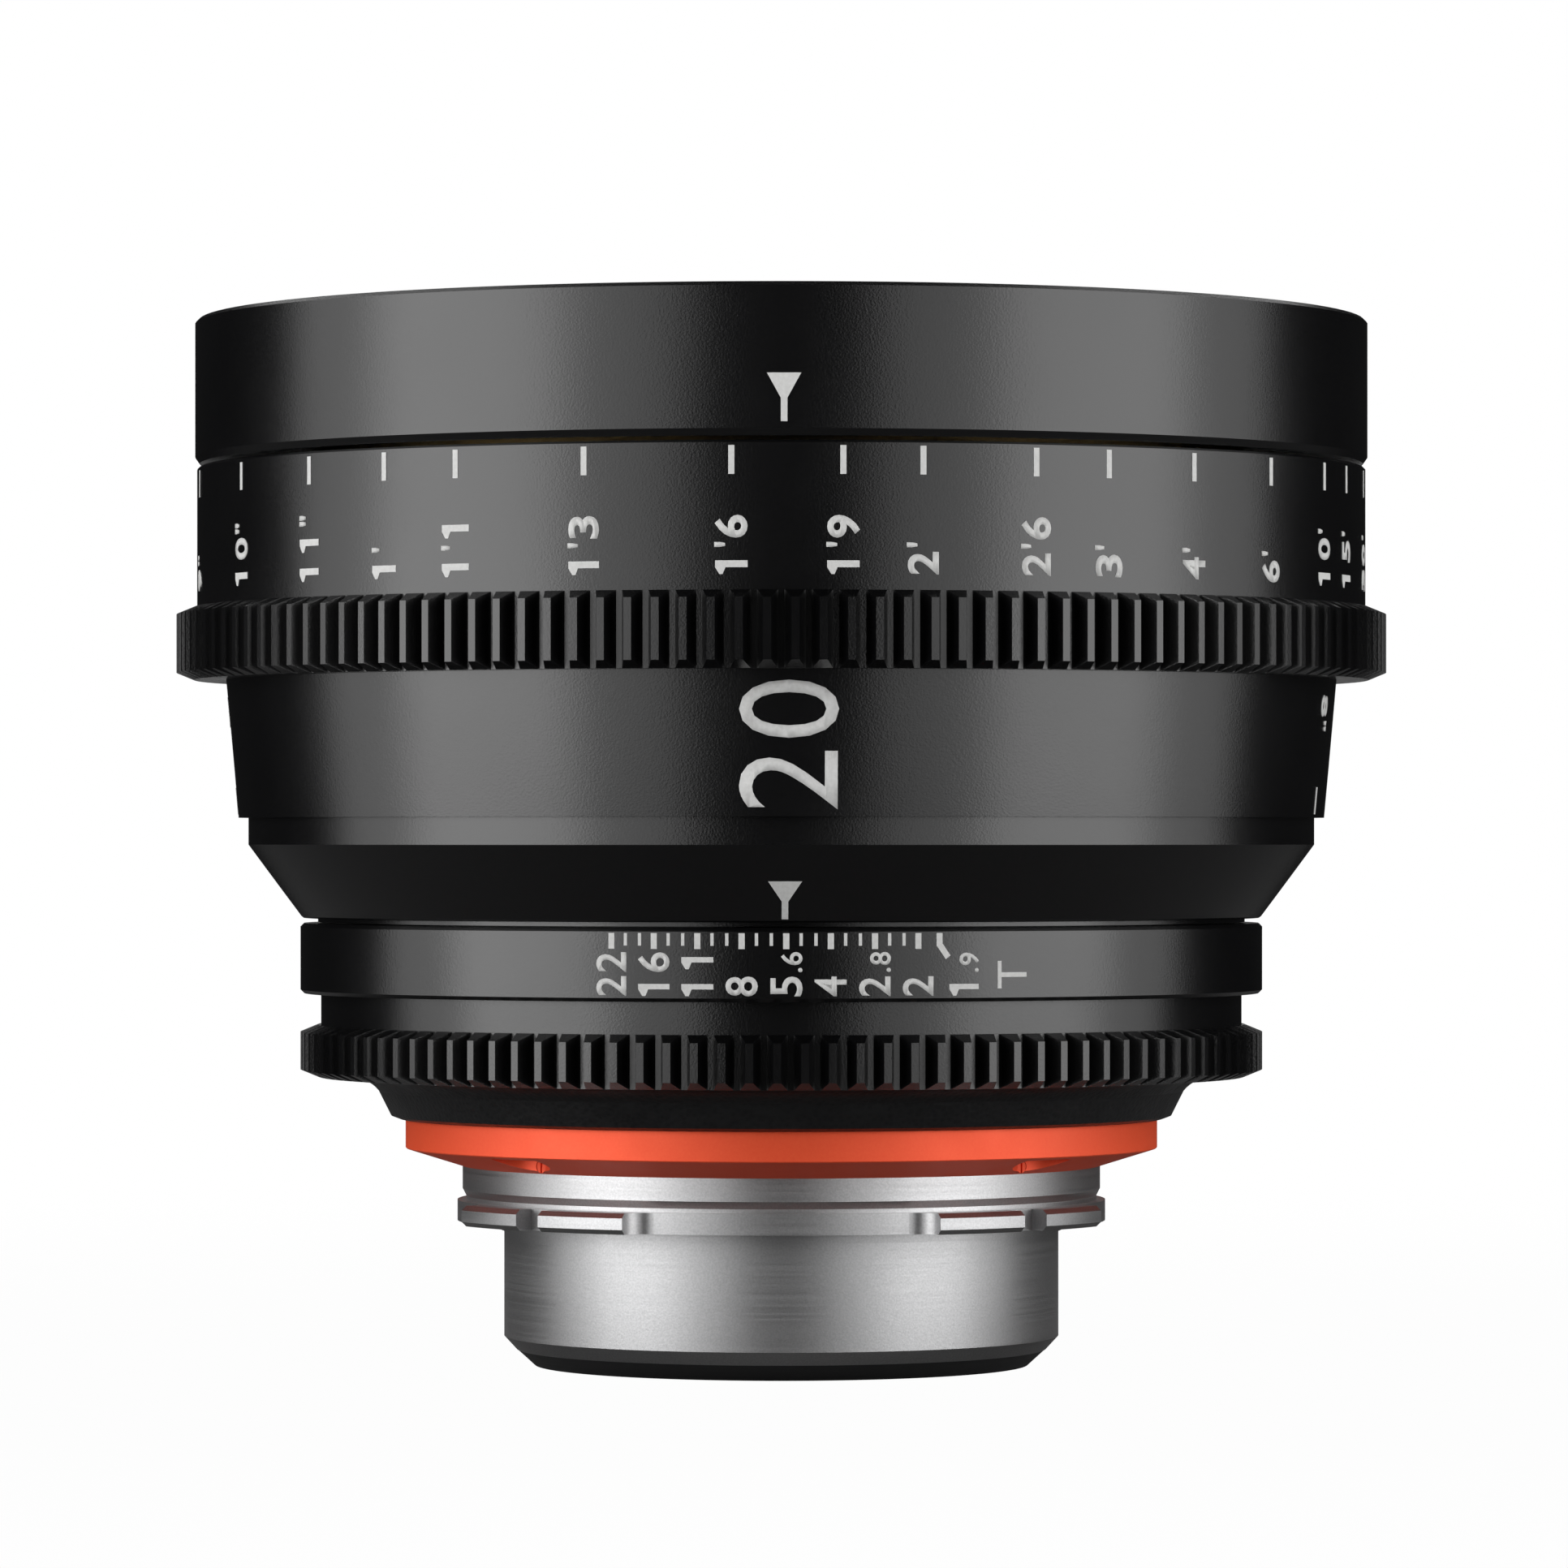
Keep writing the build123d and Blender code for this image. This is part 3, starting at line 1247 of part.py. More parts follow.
# Iris seat plate, with a hole for the pivot pin of each blade
with BuildPart() as iris_seat_plate:
    with BuildSketch(Plane.XY.offset(seat_plate_rear_z)):
        Circle(seat_plate_radius)
        Circle(seat_plate_bore, mode=Mode.SUBTRACT)
        add(hole_circle(blade_pivot_radius, blade_count, pivot_pin_radius + pin_gap), mode=Mode.SUBTRACT)
    extrude(amount=seat_plate_thickness)
iris_seat_plate.part.label = "iris_seat_plate"
export_step(iris_seat_plate.part, "parts/iris_seat_plate.step")


def drive_pin_in_cam(ring_turn):
    """Where the drive pin of the first blade stands in the cam ring when the iris ring is turned."""
    swing = radians(blade_rest_turn + blade_ratio * ring_turn + drive_angle)
    x = blade_pivot_radius + drive_arm * cos(swing)
    y = drive_arm * sin(swing)
    back = radians(-ring_turn)
    return (x * cos(back) - y * sin(back), x * sin(back) + y * cos(back))


# Iris cam ring: eleven spiral slots that swing the blades, and a forked arm that follows the iris ring
with BuildPart() as iris_cam:
    with BuildSketch(Plane.XY.offset(cam_rear_z)):
        Circle(cam_radius)
        Circle(cam_ring_bore, mode=Mode.SUBTRACT)
        slot_start = drive_pin_in_cam(iris_open_turn - cam_slot_ease)
        slot_middle = drive_pin_in_cam((iris_open_turn + iris_closed_turn) / 2)
        slot_end = drive_pin_in_cam(iris_closed_turn + cam_slot_ease)
        slot_line = Edge.make_three_point_arc(slot_start, slot_middle, slot_end)
        with PolarLocations(0, blade_count):
            SlotArc(slot_line, 2 * (drive_pin_radius + pin_gap), mode=Mode.SUBTRACT)
    extrude(amount=cam_ring_thickness)
    fork_width = 2 * (ring_pin_radius + pin_gap + fork_wall)
    fork_base_radius = fork_root_radius - fork_web
    with BuildSketch(Plane.XY.offset(cam_rear_z)):
        with PolarLocations(0, 1, start_angle=ring_pin_angle):
            with Locations(((cam_radius - overrun + fork_root_radius) / 2, 0)):
                Rectangle(fork_root_radius - cam_radius + overrun, cam_arm_width)
    extrude(amount=cam_ring_thickness)
    with BuildSketch(Plane.XY.offset(cam_mid_z - fork_half_height)):
        with PolarLocations(0, 1, start_angle=ring_pin_angle):
            with Locations(((fork_base_radius + fork_radius) / 2, 0)):
                Rectangle(fork_radius - fork_base_radius, fork_width)
            with Locations(((fork_root_radius + fork_radius) / 2 + overrun / 2, 0)):
                Rectangle(
                    fork_radius - fork_root_radius + overrun,
                    2 * (ring_pin_radius + pin_gap),
                    mode=Mode.SUBTRACT,
                )
    extrude(amount=2 * fork_half_height)
iris_cam.part.label = "iris_cam"
export_step(iris_cam.part, "parts/iris_cam.step")

# Iris blades: each one is drawn about its pivot, where it stands when the iris is at rest
band_radius = open_radius + blade_width / 2
band_line = CenterArc((-blade_pivot_radius, 0), band_radius, 0, blade_arc)
drive_x = drive_arm * cos(radians(drive_angle))
drive_y = drive_arm * sin(radians(drive_angle))
for blade in range(blade_count):
    blade_z = blade_bottom_z + blade * blade_pitch
    pivot_angle = radians(blade * 360 / blade_count)
    rest_angle = pivot_angle + radians(blade_rest_turn)
    blade_plane = Plane(
        origin=(blade_pivot_radius * cos(pivot_angle), blade_pivot_radius * sin(pivot_angle), blade_z),
        x_dir=(cos(rest_angle), sin(rest_angle), 0),
    )
    with BuildPart() as iris_blade:
        with BuildSketch(blade_plane):
            SlotArc(band_line, blade_width)
            SlotCenterPoint(((band_radius - blade_pivot_radius) / 2, 0), (0, 0), blade_tab_width)
            SlotCenterPoint((drive_x / 2, drive_y / 2), (0, 0), drive_tab_width)
        extrude(amount=blade_thickness)
        with BuildSketch(blade_plane):
            Circle(pivot_pin_radius)
        extrude(amount=seat_plate_rear_z - blade_z)
        with BuildSketch(blade_plane.offset(blade_thickness)):
            with Locations((drive_x, drive_y)):
                Circle(drive_pin_radius)
        extrude(amount=cam_front_z - blade_z - blade_thickness)
    iris_blade.part.label = f"iris_blade_{blade + 1:02d}"
    export_step(iris_blade.part, f"parts/iris_blade_{blade + 1:02d}.step")
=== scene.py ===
# %% [markdown]
# # A cinema prime lens, dressed for a studio picture
# The shape and the moving bodies of the lens come from its CAD model. This notebook gives each piece its
# finish, puts the engraved scales on the rings, and sets up the table, the light and the camera. The CAD
# nodes are loaded first, because every later size is read from them or set beside them.

import json
from math import cos, pi, radians, sin

import bpy
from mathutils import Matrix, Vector


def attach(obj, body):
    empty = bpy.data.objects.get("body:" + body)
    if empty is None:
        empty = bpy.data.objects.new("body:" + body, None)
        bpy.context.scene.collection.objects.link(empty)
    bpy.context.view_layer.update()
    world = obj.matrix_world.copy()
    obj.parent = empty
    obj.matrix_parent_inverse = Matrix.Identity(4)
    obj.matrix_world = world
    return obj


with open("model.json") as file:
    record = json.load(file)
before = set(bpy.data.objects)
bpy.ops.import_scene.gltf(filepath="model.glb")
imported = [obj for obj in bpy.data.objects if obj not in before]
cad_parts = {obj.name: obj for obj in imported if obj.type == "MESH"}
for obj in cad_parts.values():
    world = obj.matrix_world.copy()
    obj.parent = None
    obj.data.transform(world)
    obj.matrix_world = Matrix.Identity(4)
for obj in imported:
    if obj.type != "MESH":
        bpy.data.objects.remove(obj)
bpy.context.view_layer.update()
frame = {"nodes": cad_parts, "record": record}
MM = 0.001

# %% [markdown]
# ## The camera
# The picture was taken with a long lens from about three quarters of a metre, level with the middle of the
# barrel. A camera can be aimed by tilting it, but then upright edges lean, so it stays level here and its
# sensor is shifted a little, as an architect's camera is.

# %% Camera
camera_distance = 742 * MM
camera_height = 51 * MM
camera_focal_length = 174.7
sensor_shift_x, sensor_shift_y = 0.0017, 0.036
camera_data = bpy.data.cameras.new("studio_camera")
camera_data.lens = camera_focal_length
camera_data.shift_x, camera_data.shift_y = sensor_shift_x, sensor_shift_y
camera = bpy.data.objects.new("studio_camera", camera_data)
camera.location = (0, -camera_distance, camera_height)
camera.rotation_euler = (pi / 2, 0, 0)
bpy.context.scene.collection.objects.link(camera)
bpy.context.scene.camera = camera
bpy.context.scene.view_settings.view_transform = "Standard"
print("camera", tuple(camera.location))

# %% [markdown]
# ## Building finishes from nodes
# Every finish starts as one shader whose even values sit on its own sockets. What varies over the surface
# is added as small chains of nodes: a noise on Object coordinates, in metres, is turned into a range of
# roughness, a range of colour or a height for the bump. These helpers make such chains.


# %% Helpers for finishes
def new_finish(name, colour, metallic=0.0, roughness=0.4, specular=0.5):
    """A material with one Principled shader; returns the material and that shader."""
    material = bpy.data.materials.new(name)
    material.use_nodes = True
    shader = material.node_tree.nodes["Principled BSDF"]
    shader.inputs["Base Color"].default_value = (*colour, 1)
    shader.inputs["Metallic"].default_value = metallic
    shader.inputs["Roughness"].default_value = roughness
    shader.inputs["Specular IOR Level"].default_value = specular
    return material, shader


def object_points(material, stretch=(1, 1, 1)):
    """Object coordinates, stretched where a pattern is longer one way than the other."""
    nodes, links = material.node_tree.nodes, material.node_tree.links
    place = nodes.new("ShaderNodeTexCoord")
    mapping = nodes.new("ShaderNodeMapping")
    mapping.inputs["Scale"].default_value = stretch
    links.new(place.outputs["Object"], mapping.inputs["Vector"])
    return mapping.outputs["Vector"]


def noise(material, scale, detail=3.0, stretch=(1, 1, 1)):
    """A noise pattern; a scale of 1000 gives features of about a millimetre."""
    pattern = material.node_tree.nodes.new("ShaderNodeTexNoise")
    pattern.inputs["Scale"].default_value = scale
    pattern.inputs["Detail"].default_value = detail
    material.node_tree.links.new(object_points(material, stretch), pattern.inputs["Vector"])
    return pattern.outputs["Fac"]


def spread(material, pattern, low, high, start=0.3, end=0.7):
    """Turns a pattern into values between low and high."""
    to_range = material.node_tree.nodes.new("ShaderNodeMapRange")
    to_range.inputs["From Min"].default_value = start
    to_range.inputs["From Max"].default_value = end
    to_range.inputs["To Min"].default_value = low
    to_range.inputs["To Max"].default_value = high
    material.node_tree.links.new(pattern, to_range.inputs["Value"])
    return to_range.outputs["Result"]


def vary_roughness(material, shader, pattern, low, high):
    """Lets the roughness wander with a pattern."""
    material.node_tree.links.new(spread(material, pattern, low, high), shader.inputs["Roughness"])


def vary_colour(material, shader, pattern, dark, light, start=0.3, end=0.7):
    """Lets the colour wander between two colours with a pattern."""
    mix = material.node_tree.nodes.new("ShaderNodeMix")
    mix.data_type = "RGBA"
    mix.inputs["A"].default_value = (*dark, 1)
    mix.inputs["B"].default_value = (*light, 1)
    material.node_tree.links.new(spread(material, pattern, 0, 1, start, end), mix.inputs["Factor"])
    material.node_tree.links.new(mix.outputs["Result"], shader.inputs["Base Color"])


def add_bump(material, shader, pattern, height, strength=1.0):
    """Raises the surface by the pattern, at most by height in metres."""
    bump = material.node_tree.nodes.new("ShaderNodeBump")
    bump.inputs["Strength"].default_value = strength
    bump.inputs["Distance"].default_value = height
    material.node_tree.links.new(pattern, bump.inputs["Height"])
    material.node_tree.links.new(bump.outputs["Normal"], shader.inputs["Normal"])


print("finish helpers ready")

# %% [markdown]
# ## Black anodised aluminium
# The rings and barrels are aluminium that was bead-blasted and then dyed black. Seen close, the blasting
# leaves a fine grain that breaks up each highlight, and handling leaves faint cloudy patches. One even
# roughness would look like plastic, so two noises are added: a fine one for the grain's bump and colour, and
# a broad one that lets the roughness wander in clouds. The inner walls and the rear trim ring get blacks of
# their own.


# %% Black anodised finish
def black_anodised():
    """Bead-blasted black anodising of the rings and barrels."""
    material, shader = new_finish("black_anodised", (0.0016, 0.0016, 0.0018), roughness=0.23, specular=0.62)
    grain = noise(material, 5200, detail=2.0)
    clouds = noise(material, 60, detail=4.0)
    vary_roughness(material, shader, clouds, 0.21, 0.26)
    vary_colour(material, shader, grain, (0.001, 0.001, 0.0012), (0.0026, 0.0026, 0.0029))
    add_bump(material, shader, grain, 0.02 * MM, 0.75)
    return material


def inner_black():
    """Flat black paint of the inner walls."""
    material, shader = new_finish("inner_black", (0.006, 0.006, 0.006), roughness=0.62, specular=0.35)
    speckle = noise(material, 2600, detail=3.0)
    vary_roughness(material, shader, speckle, 0.55, 0.72)
    vary_colour(material, shader, speckle, (0.004, 0.004, 0.004), (0.009, 0.009, 0.009))
    add_bump(material, shader, speckle, 0.01 * MM, 0.4)
    return material


def trim_black():
    """Black ring that closes the steel mount: smoother, as it was turned and not blasted."""
    material, shader = new_finish("trim_black", (0.011, 0.011, 0.0115), roughness=0.38, specular=0.6)
    turning = noise(material, 420, detail=2.0, stretch=(0.04, 0.04, 9))
    vary_roughness(material, shader, turning, 0.33, 0.43)
    vary_colour(material, shader, turning, (0.009, 0.009, 0.0095), (0.014, 0.014, 0.0145))
    return material


print("black finishes defined")

# %% [markdown]
# ## The textured cover, the accent ring and the steel mount
# The narrow cover behind the iris gear has a coarser skin, like fine leather, made here by cells of a
# Voronoi pattern. The accent ring is anodised too, so its dye sits on metal: the shader is partly metallic,
# which tints the highlights. The mount is stainless steel: its lathe marks run round it, so the noise that
# changes its roughness is stretched along the turning, and a second, fine one gives the grain.


# %% Cover, accent and steel finishes
def textured_black():
    """Fine leather-like skin of the rear cover."""
    dark, light = (0.0025, 0.0025, 0.003), (0.007, 0.007, 0.0075)
    material, shader = new_finish("textured_black", light, roughness=0.5, specular=0.45)
    nodes, links = material.node_tree.nodes, material.node_tree.links
    cells = nodes.new("ShaderNodeTexVoronoi")
    cells.inputs["Scale"].default_value = 1900
    links.new(object_points(material), cells.inputs["Vector"])
    vary_colour(material, shader, cells.outputs["Distance"], dark, light, 0.1, 0.6)
    vary_roughness(material, shader, noise(material, 300), 0.36, 0.46)
    add_bump(material, shader, cells.outputs["Distance"], 0.06 * MM, 0.6)
    return material


def accent_anodised():
    """Orange-red anodised ring."""
    orange_red = (1.0, 0.108, 0.036)
    material, shader = new_finish("accent_anodised", orange_red, metallic=0.35, roughness=0.48, specular=0.42)
    grain = noise(material, 4200, detail=2.0)
    vary_roughness(material, shader, noise(material, 240, detail=3.0), 0.45, 0.52)
    vary_colour(material, shader, grain, (0.98, 0.1, 0.033), (1.0, 0.116, 0.039))
    add_bump(material, shader, grain, 0.008 * MM, 0.4)
    return material


def mount_steel():
    """Turned stainless steel of the camera mount."""
    material, shader = new_finish("mount_steel", (0.45, 0.45, 0.455), metallic=1.0, roughness=0.38)
    turning = noise(material, 700, detail=3.0, stretch=(0.03, 0.03, 7))
    grain = noise(material, 5600, detail=2.0)
    vary_roughness(material, shader, turning, 0.35, 0.41)
    vary_colour(material, shader, grain, (0.42, 0.42, 0.425), (0.51, 0.51, 0.515))
    add_bump(material, shader, grain, 0.01 * MM, 0.5)
    return material


print("cover, accent and steel finishes defined")

# %% [markdown]
# ## Finishes of the inner pieces
# Brass cam sleeve and rollers, plain screws, blackened blades and plastic washers are seldom seen, but a
# part that is taken apart shows them. Each gets a short version of the same recipe. A coated lens reflects
# little, and what it reflects is coloured. A thin film on the shader turned the glass yellow-green here, so
# the glass is a clear shader whose reflections are tinted a dark violet instead.


# %% Finishes of inner pieces and glass
def turned_metal(name, colour, roughness):
    """A machined inner piece: faint lathe lines and a small wander of colour."""
    material, shader = new_finish(name, colour, metallic=1.0, roughness=roughness)
    turning = noise(material, 600, detail=2.0, stretch=(0.05, 0.05, 6))
    vary_roughness(material, shader, turning, roughness - 0.06, roughness + 0.08)
    vary_colour(material, shader, turning, [0.88 * c for c in colour], [min(1.08 * c, 1) for c in colour])
    return material


def washer_plastic():
    """Slippery plastic of the thrust washers."""
    material, shader = new_finish("washer_plastic", (0.72, 0.71, 0.66), roughness=0.45)
    vary_colour(material, shader, noise(material, 400), (0.66, 0.65, 0.6), (0.76, 0.75, 0.7))
    return material


def coated_glass():
    """Optical glass whose anti-reflection coating gives dark violet reflections."""
    material, shader = new_finish("coated_glass", (0.98, 0.99, 0.985), roughness=0.0)
    shader.inputs["Transmission Weight"].default_value = 1.0
    shader.inputs["IOR"].default_value = 1.55
    shader.inputs["Specular Tint"].default_value = (0.28, 0.18, 0.42, 1)
    dust = noise(material, 900, detail=2.0)
    material.node_tree.links.new(spread(material, dust, 0.0, 0.02, 0.62, 0.8), shader.inputs["Roughness"])
    return material


finishes = {
    "black_anodised": black_anodised(),
    "inner_black": inner_black(),
    "trim_black": trim_black(),
    "black_textured": textured_black(),
    "accent_anodised": accent_anodised(),
    "mount_steel": mount_steel(),
    "cam_brass": turned_metal("cam_brass", (0.6, 0.42, 0.17), 0.3),
    "steel": turned_metal("screw_steel", (0.5, 0.5, 0.49), 0.32),
    "blade_steel": turned_metal("blade_steel", (0.05, 0.05, 0.055), 0.35),
    "washer_plastic": washer_plastic(),
    "glass": coated_glass(),
}
print("finishes:", len(finishes))

# %% [markdown]
# ## Dressing the CAD nodes
# The record says which material slot each node has, so one loop can dress them all. Two nodes get another
# finish than their slot: the rear trim ring is smoother than the other black rings, and the small screws of
# the accent ring look orange-red like the ring.

# %% Dress the CAD nodes
finish_of_node = {part["node"]: part["material_slot"] for part in frame["record"]["subparts"]}
finish_of_node["rear_trim_ring"] = "trim_black"
finish_of_node["accent_set_screws"] = "accent_anodised"
for node, part in frame["nodes"].items():
    part.data.materials.clear()
    part.data.materials.append(finishes[finish_of_node[node]])
print("nodes dressed:", len(finish_of_node))

# %% [markdown]
# ## Engraved marks
# The scales are cut into the rings and filled with pale grey paint, almost flush. On a computer they could
# be painted with a texture, but a part that is shared without pictures needs them as shapes, so each mark is
# a very thin plate laid on the ring. It is drawn flat first, with its u axis along the reading direction,
# and then wrapped: one direction becomes height and the other becomes an angle round the axis.

# %% Paint of the marks and the wrapping of a flat mark
mark_proud = 0.03 * MM
mark_sunk = 0.08 * MM
# In degrees: in the picture the index marks stand this much to the right of the middle
index_turn = 0.35


def mark_paint():
    """Pale grey filling paint of the engraved marks."""
    material, shader = new_finish("mark_paint", (0.6, 0.6, 0.59), roughness=0.55, specular=0.3)
    vary_colour(material, shader, noise(material, 3000), (0.56, 0.56, 0.55), (0.64, 0.64, 0.63))
    return material


paint = mark_paint()


def wrap_on_ring(mark, radius_at, angle, base_z, turned_over=False):
    """Bends a flat mark round the axis. Its u axis runs up the ring and its v axis back round it; a mark
    that is turned over reads downwards. The angle is measured from the index marks, towards +X."""
    way = -1 if turned_over else 1
    for vertex in mark.data.vertices:
        z = base_z + way * vertex.co.x
        radius = radius_at(z)
        turn = radians(angle + index_turn - 90) - way * vertex.co.y / radius
        reach = radius + vertex.co.z
        vertex.co = (reach * cos(turn), reach * sin(turn), z)
    mark.data.update()


def cut_finer(mark, step):
    """Cuts a flat mark along its v axis, so that no face is too long to follow the ring."""
    low = min(vertex.co.y for vertex in mark.data.vertices)
    high = max(vertex.co.y for vertex in mark.data.vertices)
    bpy.ops.object.select_all(action="DESELECT")
    mark.select_set(True)
    bpy.context.view_layer.objects.active = mark
    bpy.ops.object.mode_set(mode="EDIT")
    cut = low + step
    while cut < high:
        bpy.ops.mesh.select_all(action="SELECT")
        bpy.ops.mesh.bisect(plane_co=(0, cut, 0), plane_no=(0, 1, 0))
        cut += step
    bpy.ops.object.mode_set(mode="OBJECT")


print("marks are", mark_proud / MM, "mm proud")

# %% [markdown]
# ## Bars, arrows and numbers
# A tick is a cube squeezed to the size of its bar. An index arrow is such a bar, cut across where its point
# begins and narrowed below the cut to the width of its stem. A number is set figure by figure: each is a
# text object that becomes a mesh, scaled to one height and one width, as engraved figures have. The font's
# one is a bare bar, so the figure one is made from two blocks that touch, a stem and a flag that tapers. The
# sign for infinity is the font's eight, laid on its side.


# %% Makers of flat marks
figure_gap_share = 0.13
decimal_share = 0.66
quote_share = 0.82
flag_share = 0.21
flag_root = (0.18, 0.5)
flag_tip = (0.27, 0.37)
lead_of_one = 0.09


def flat_bar(length, width, start=0.0):
    """A bar along the u axis."""
    bpy.ops.object.select_all(action="DESELECT")
    bpy.ops.mesh.primitive_cube_add(size=1, location=(start + length / 2, 0, (mark_proud - mark_sunk) / 2))
    bar = bpy.context.object
    bar.scale = (length, width, mark_proud + mark_sunk)
    bpy.ops.object.transform_apply(location=True, rotation=True, scale=True)
    return bar


def flat_arrow(length, point_length, width, stem_width):
    """An index arrow along the u axis: its stem starts at zero and its wide end is at the full length."""
    arrow = flat_bar(length, width)
    bpy.ops.object.mode_set(mode="EDIT")
    bpy.ops.mesh.select_all(action="SELECT")
    bpy.ops.mesh.bisect(plane_co=(length - point_length, 0, 0), plane_no=(1, 0, 0))
    bpy.ops.object.mode_set(mode="OBJECT")
    narrowed = [v for v in arrow.data.vertices if v.co.x < length - 0.5 * point_length]
    for vertex in narrowed:
        vertex.co.y *= stem_width / width
    return arrow


def thicken_flat(mark):
    """Gives a flat outline its thickness, with the faces pointing outwards."""
    for vertex in mark.data.vertices:
        vertex.co.z = -mark_sunk
    bpy.ops.object.mode_set(mode="EDIT")
    bpy.ops.mesh.select_all(action="SELECT")
    bpy.ops.mesh.remove_doubles(threshold=0.002 * MM)
    bpy.ops.mesh.extrude_region_move(TRANSFORM_OT_translate={"value": (0, 0, mark_proud + mark_sunk)})
    bpy.ops.mesh.select_all(action="SELECT")
    bpy.ops.mesh.normals_make_consistent(inside=False)
    bpy.ops.object.mode_set(mode="OBJECT")


def outline_of(character, weight):
    """The flat mesh of one character as the font draws it, and its lowest and highest corner."""
    bpy.ops.object.select_all(action="DESELECT")
    bpy.ops.object.text_add()
    bpy.context.object.data.body = character
    bpy.context.object.data.offset = weight
    bpy.context.object.data.resolution_u = 4
    bpy.ops.object.convert(target="MESH")
    outline = bpy.context.object
    xs = [v.co.x for v in outline.data.vertices]
    ys = [v.co.y for v in outline.data.vertices]
    return outline, (min(xs), min(ys)), (max(xs), max(ys))


def figure_one(height, stroke):
    """The figure one: a stem with a flag that tapers away from its top."""
    flag = flag_share * height
    stem = flat_bar(stroke, height, flag)
    tab = flat_bar(flag, height)
    for vertex in tab.data.vertices:
        low, high = flag_root if vertex.co.x > flag / 2 else flag_tip
        vertex.co.y = (high if vertex.co.y > 0 else low) * height
    bpy.ops.object.select_all(action="DESELECT")
    stem.select_set(True)
    tab.select_set(True)
    bpy.context.view_layer.objects.active = stem
    bpy.ops.object.join()
    return stem


def lying_eight(scale, weight):
    """The sign for infinity: an eight laid on its side, centred on the line; returns it and its width."""
    mark, low, high = outline_of("8", weight)
    for vertex in mark.data.vertices:
        across = vertex.co.x - (low[0] + high[0]) / 2
        vertex.co.x = (high[1] - vertex.co.y) * scale
        vertex.co.y = across * scale
    thicken_flat(mark)
    return mark, (high[1] - low[1]) * scale


def figure(character, height, width_share, weight, stroke):
    """One character, its figures as tall as asked and of one width; returns it and its width."""
    if character == "1":
        return figure_one(height, stroke), width_share * height
    zero, zero_low, zero_high = outline_of("0", weight)
    bpy.data.objects.remove(zero)
    scale = height / (zero_high[1] - zero_low[1])
    if character == "∞":
        return lying_eight(scale, weight)
    top = zero_high[1]
    mark, low, high = outline_of(character, weight)
    if character in "'\"":
        scale *= quote_share
    width = (high[0] - low[0]) * scale
    squeeze = width_share * height / width if character in "023456789" else 1.0
    for vertex in mark.data.vertices:
        vertex.co.x = (vertex.co.x - low[0]) * scale * squeeze
        vertex.co.y = (vertex.co.y - top) * scale + height / 2
    thicken_flat(mark)
    return mark, width * squeeze


def flat_number(words, height, width_share, weight, stroke_share):
    """A number along the u axis. What follows a decimal point is smaller and stands on the same line."""
    marks, along, size = [], 0.0, height
    for character in words:
        if character == ".":
            size = decimal_share * height
        if character == "1" and marks:
            along += lead_of_one * size
        mark, width = figure(character, size, width_share, weight, stroke_share * size)
        for vertex in mark.data.vertices:
            vertex.co.x += along
            vertex.co.y -= (height - size) / 2
        along += width + figure_gap_share * size
        marks.append(mark)
    bpy.ops.object.select_all(action="DESELECT")
    for mark in marks:
        mark.select_set(True)
    bpy.context.view_layer.objects.active = marks[0]
    if len(marks) > 1:
        bpy.ops.object.join()
    return bpy.context.view_layer.objects.active


def join_marks(marks, name, body):
    """Joins marks into one painted piece that rides on a body."""
    bpy.ops.object.select_all(action="DESELECT")
    for mark in marks:
        mark.select_set(True)
    bpy.context.view_layer.objects.active = marks[0]
    if len(marks) > 1:
        bpy.ops.object.join()
    piece = bpy.context.view_layer.objects.active
    piece.name = name
    piece.data.materials.clear()
    piece.data.materials.append(paint)
    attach(piece, body)
    print(name, "triangles about", sum(len(p.vertices) - 2 for p in piece.data.polygons))


# %% [markdown]
# ## The distance scale on the focus ring
# The numbers stand on the wide band in front of the gear, each with a tick at its distance. They are spaced
# unevenly, close together for far distances, as the focus travel asks. A second set on the skirt is turned
# over, for someone who stands on the other side of the camera. It uses the same table again, about half a
# turn away, with its ticks and numbers each at the turn that the one visible mark of the picture has.

# %% Distance scale
distance_marks = {
    '8"': -106.0, '9"': -80.6, '10"': -63.9, '11"': -50.8, "1'": -40.3, "1'1": -31.9, "1'3": -18.7,
    "1'6": -4.9, "1'9": 5.3, "2'": 12.7, "2'6": 23.7, "3'": 31.4, "4'": 41.6, "6'": 53.0, "10'": 64.0,
    "15'": 70.7, "30'": 80.5, "∞": 92.0,
}
number_height = 2.94 * MM
number_width_share, number_weight, number_stroke_share = 0.7, 0.027, 0.21
tick_width = 0.55 * MM
tick_length = 2.6 * MM
band_radius = 56.8 * MM
band_tick_z = 84.02 * MM
band_number_z = 75.0 * MM
skirt_rear_z, skirt_front_z = 53.2 * MM, 66.55 * MM
skirt_rear_radius, skirt_front_radius = 52.8 * MM, 54.0 * MM
skirt_tick_z = 53.5 * MM
skirt_number_z = 64.9 * MM
skirt_tick_turn, skirt_number_turn = 180.6, 181


def band_radius_at(z):
    """The band is a plain cylinder, so its radius is the same at every height."""
    return band_radius


def skirt_radius_at(z):
    """The skirt is a slight cone that widens towards the front."""
    along = (z - skirt_rear_z) / (skirt_front_z - skirt_rear_z)
    return skirt_rear_radius + along * (skirt_front_radius - skirt_rear_radius)


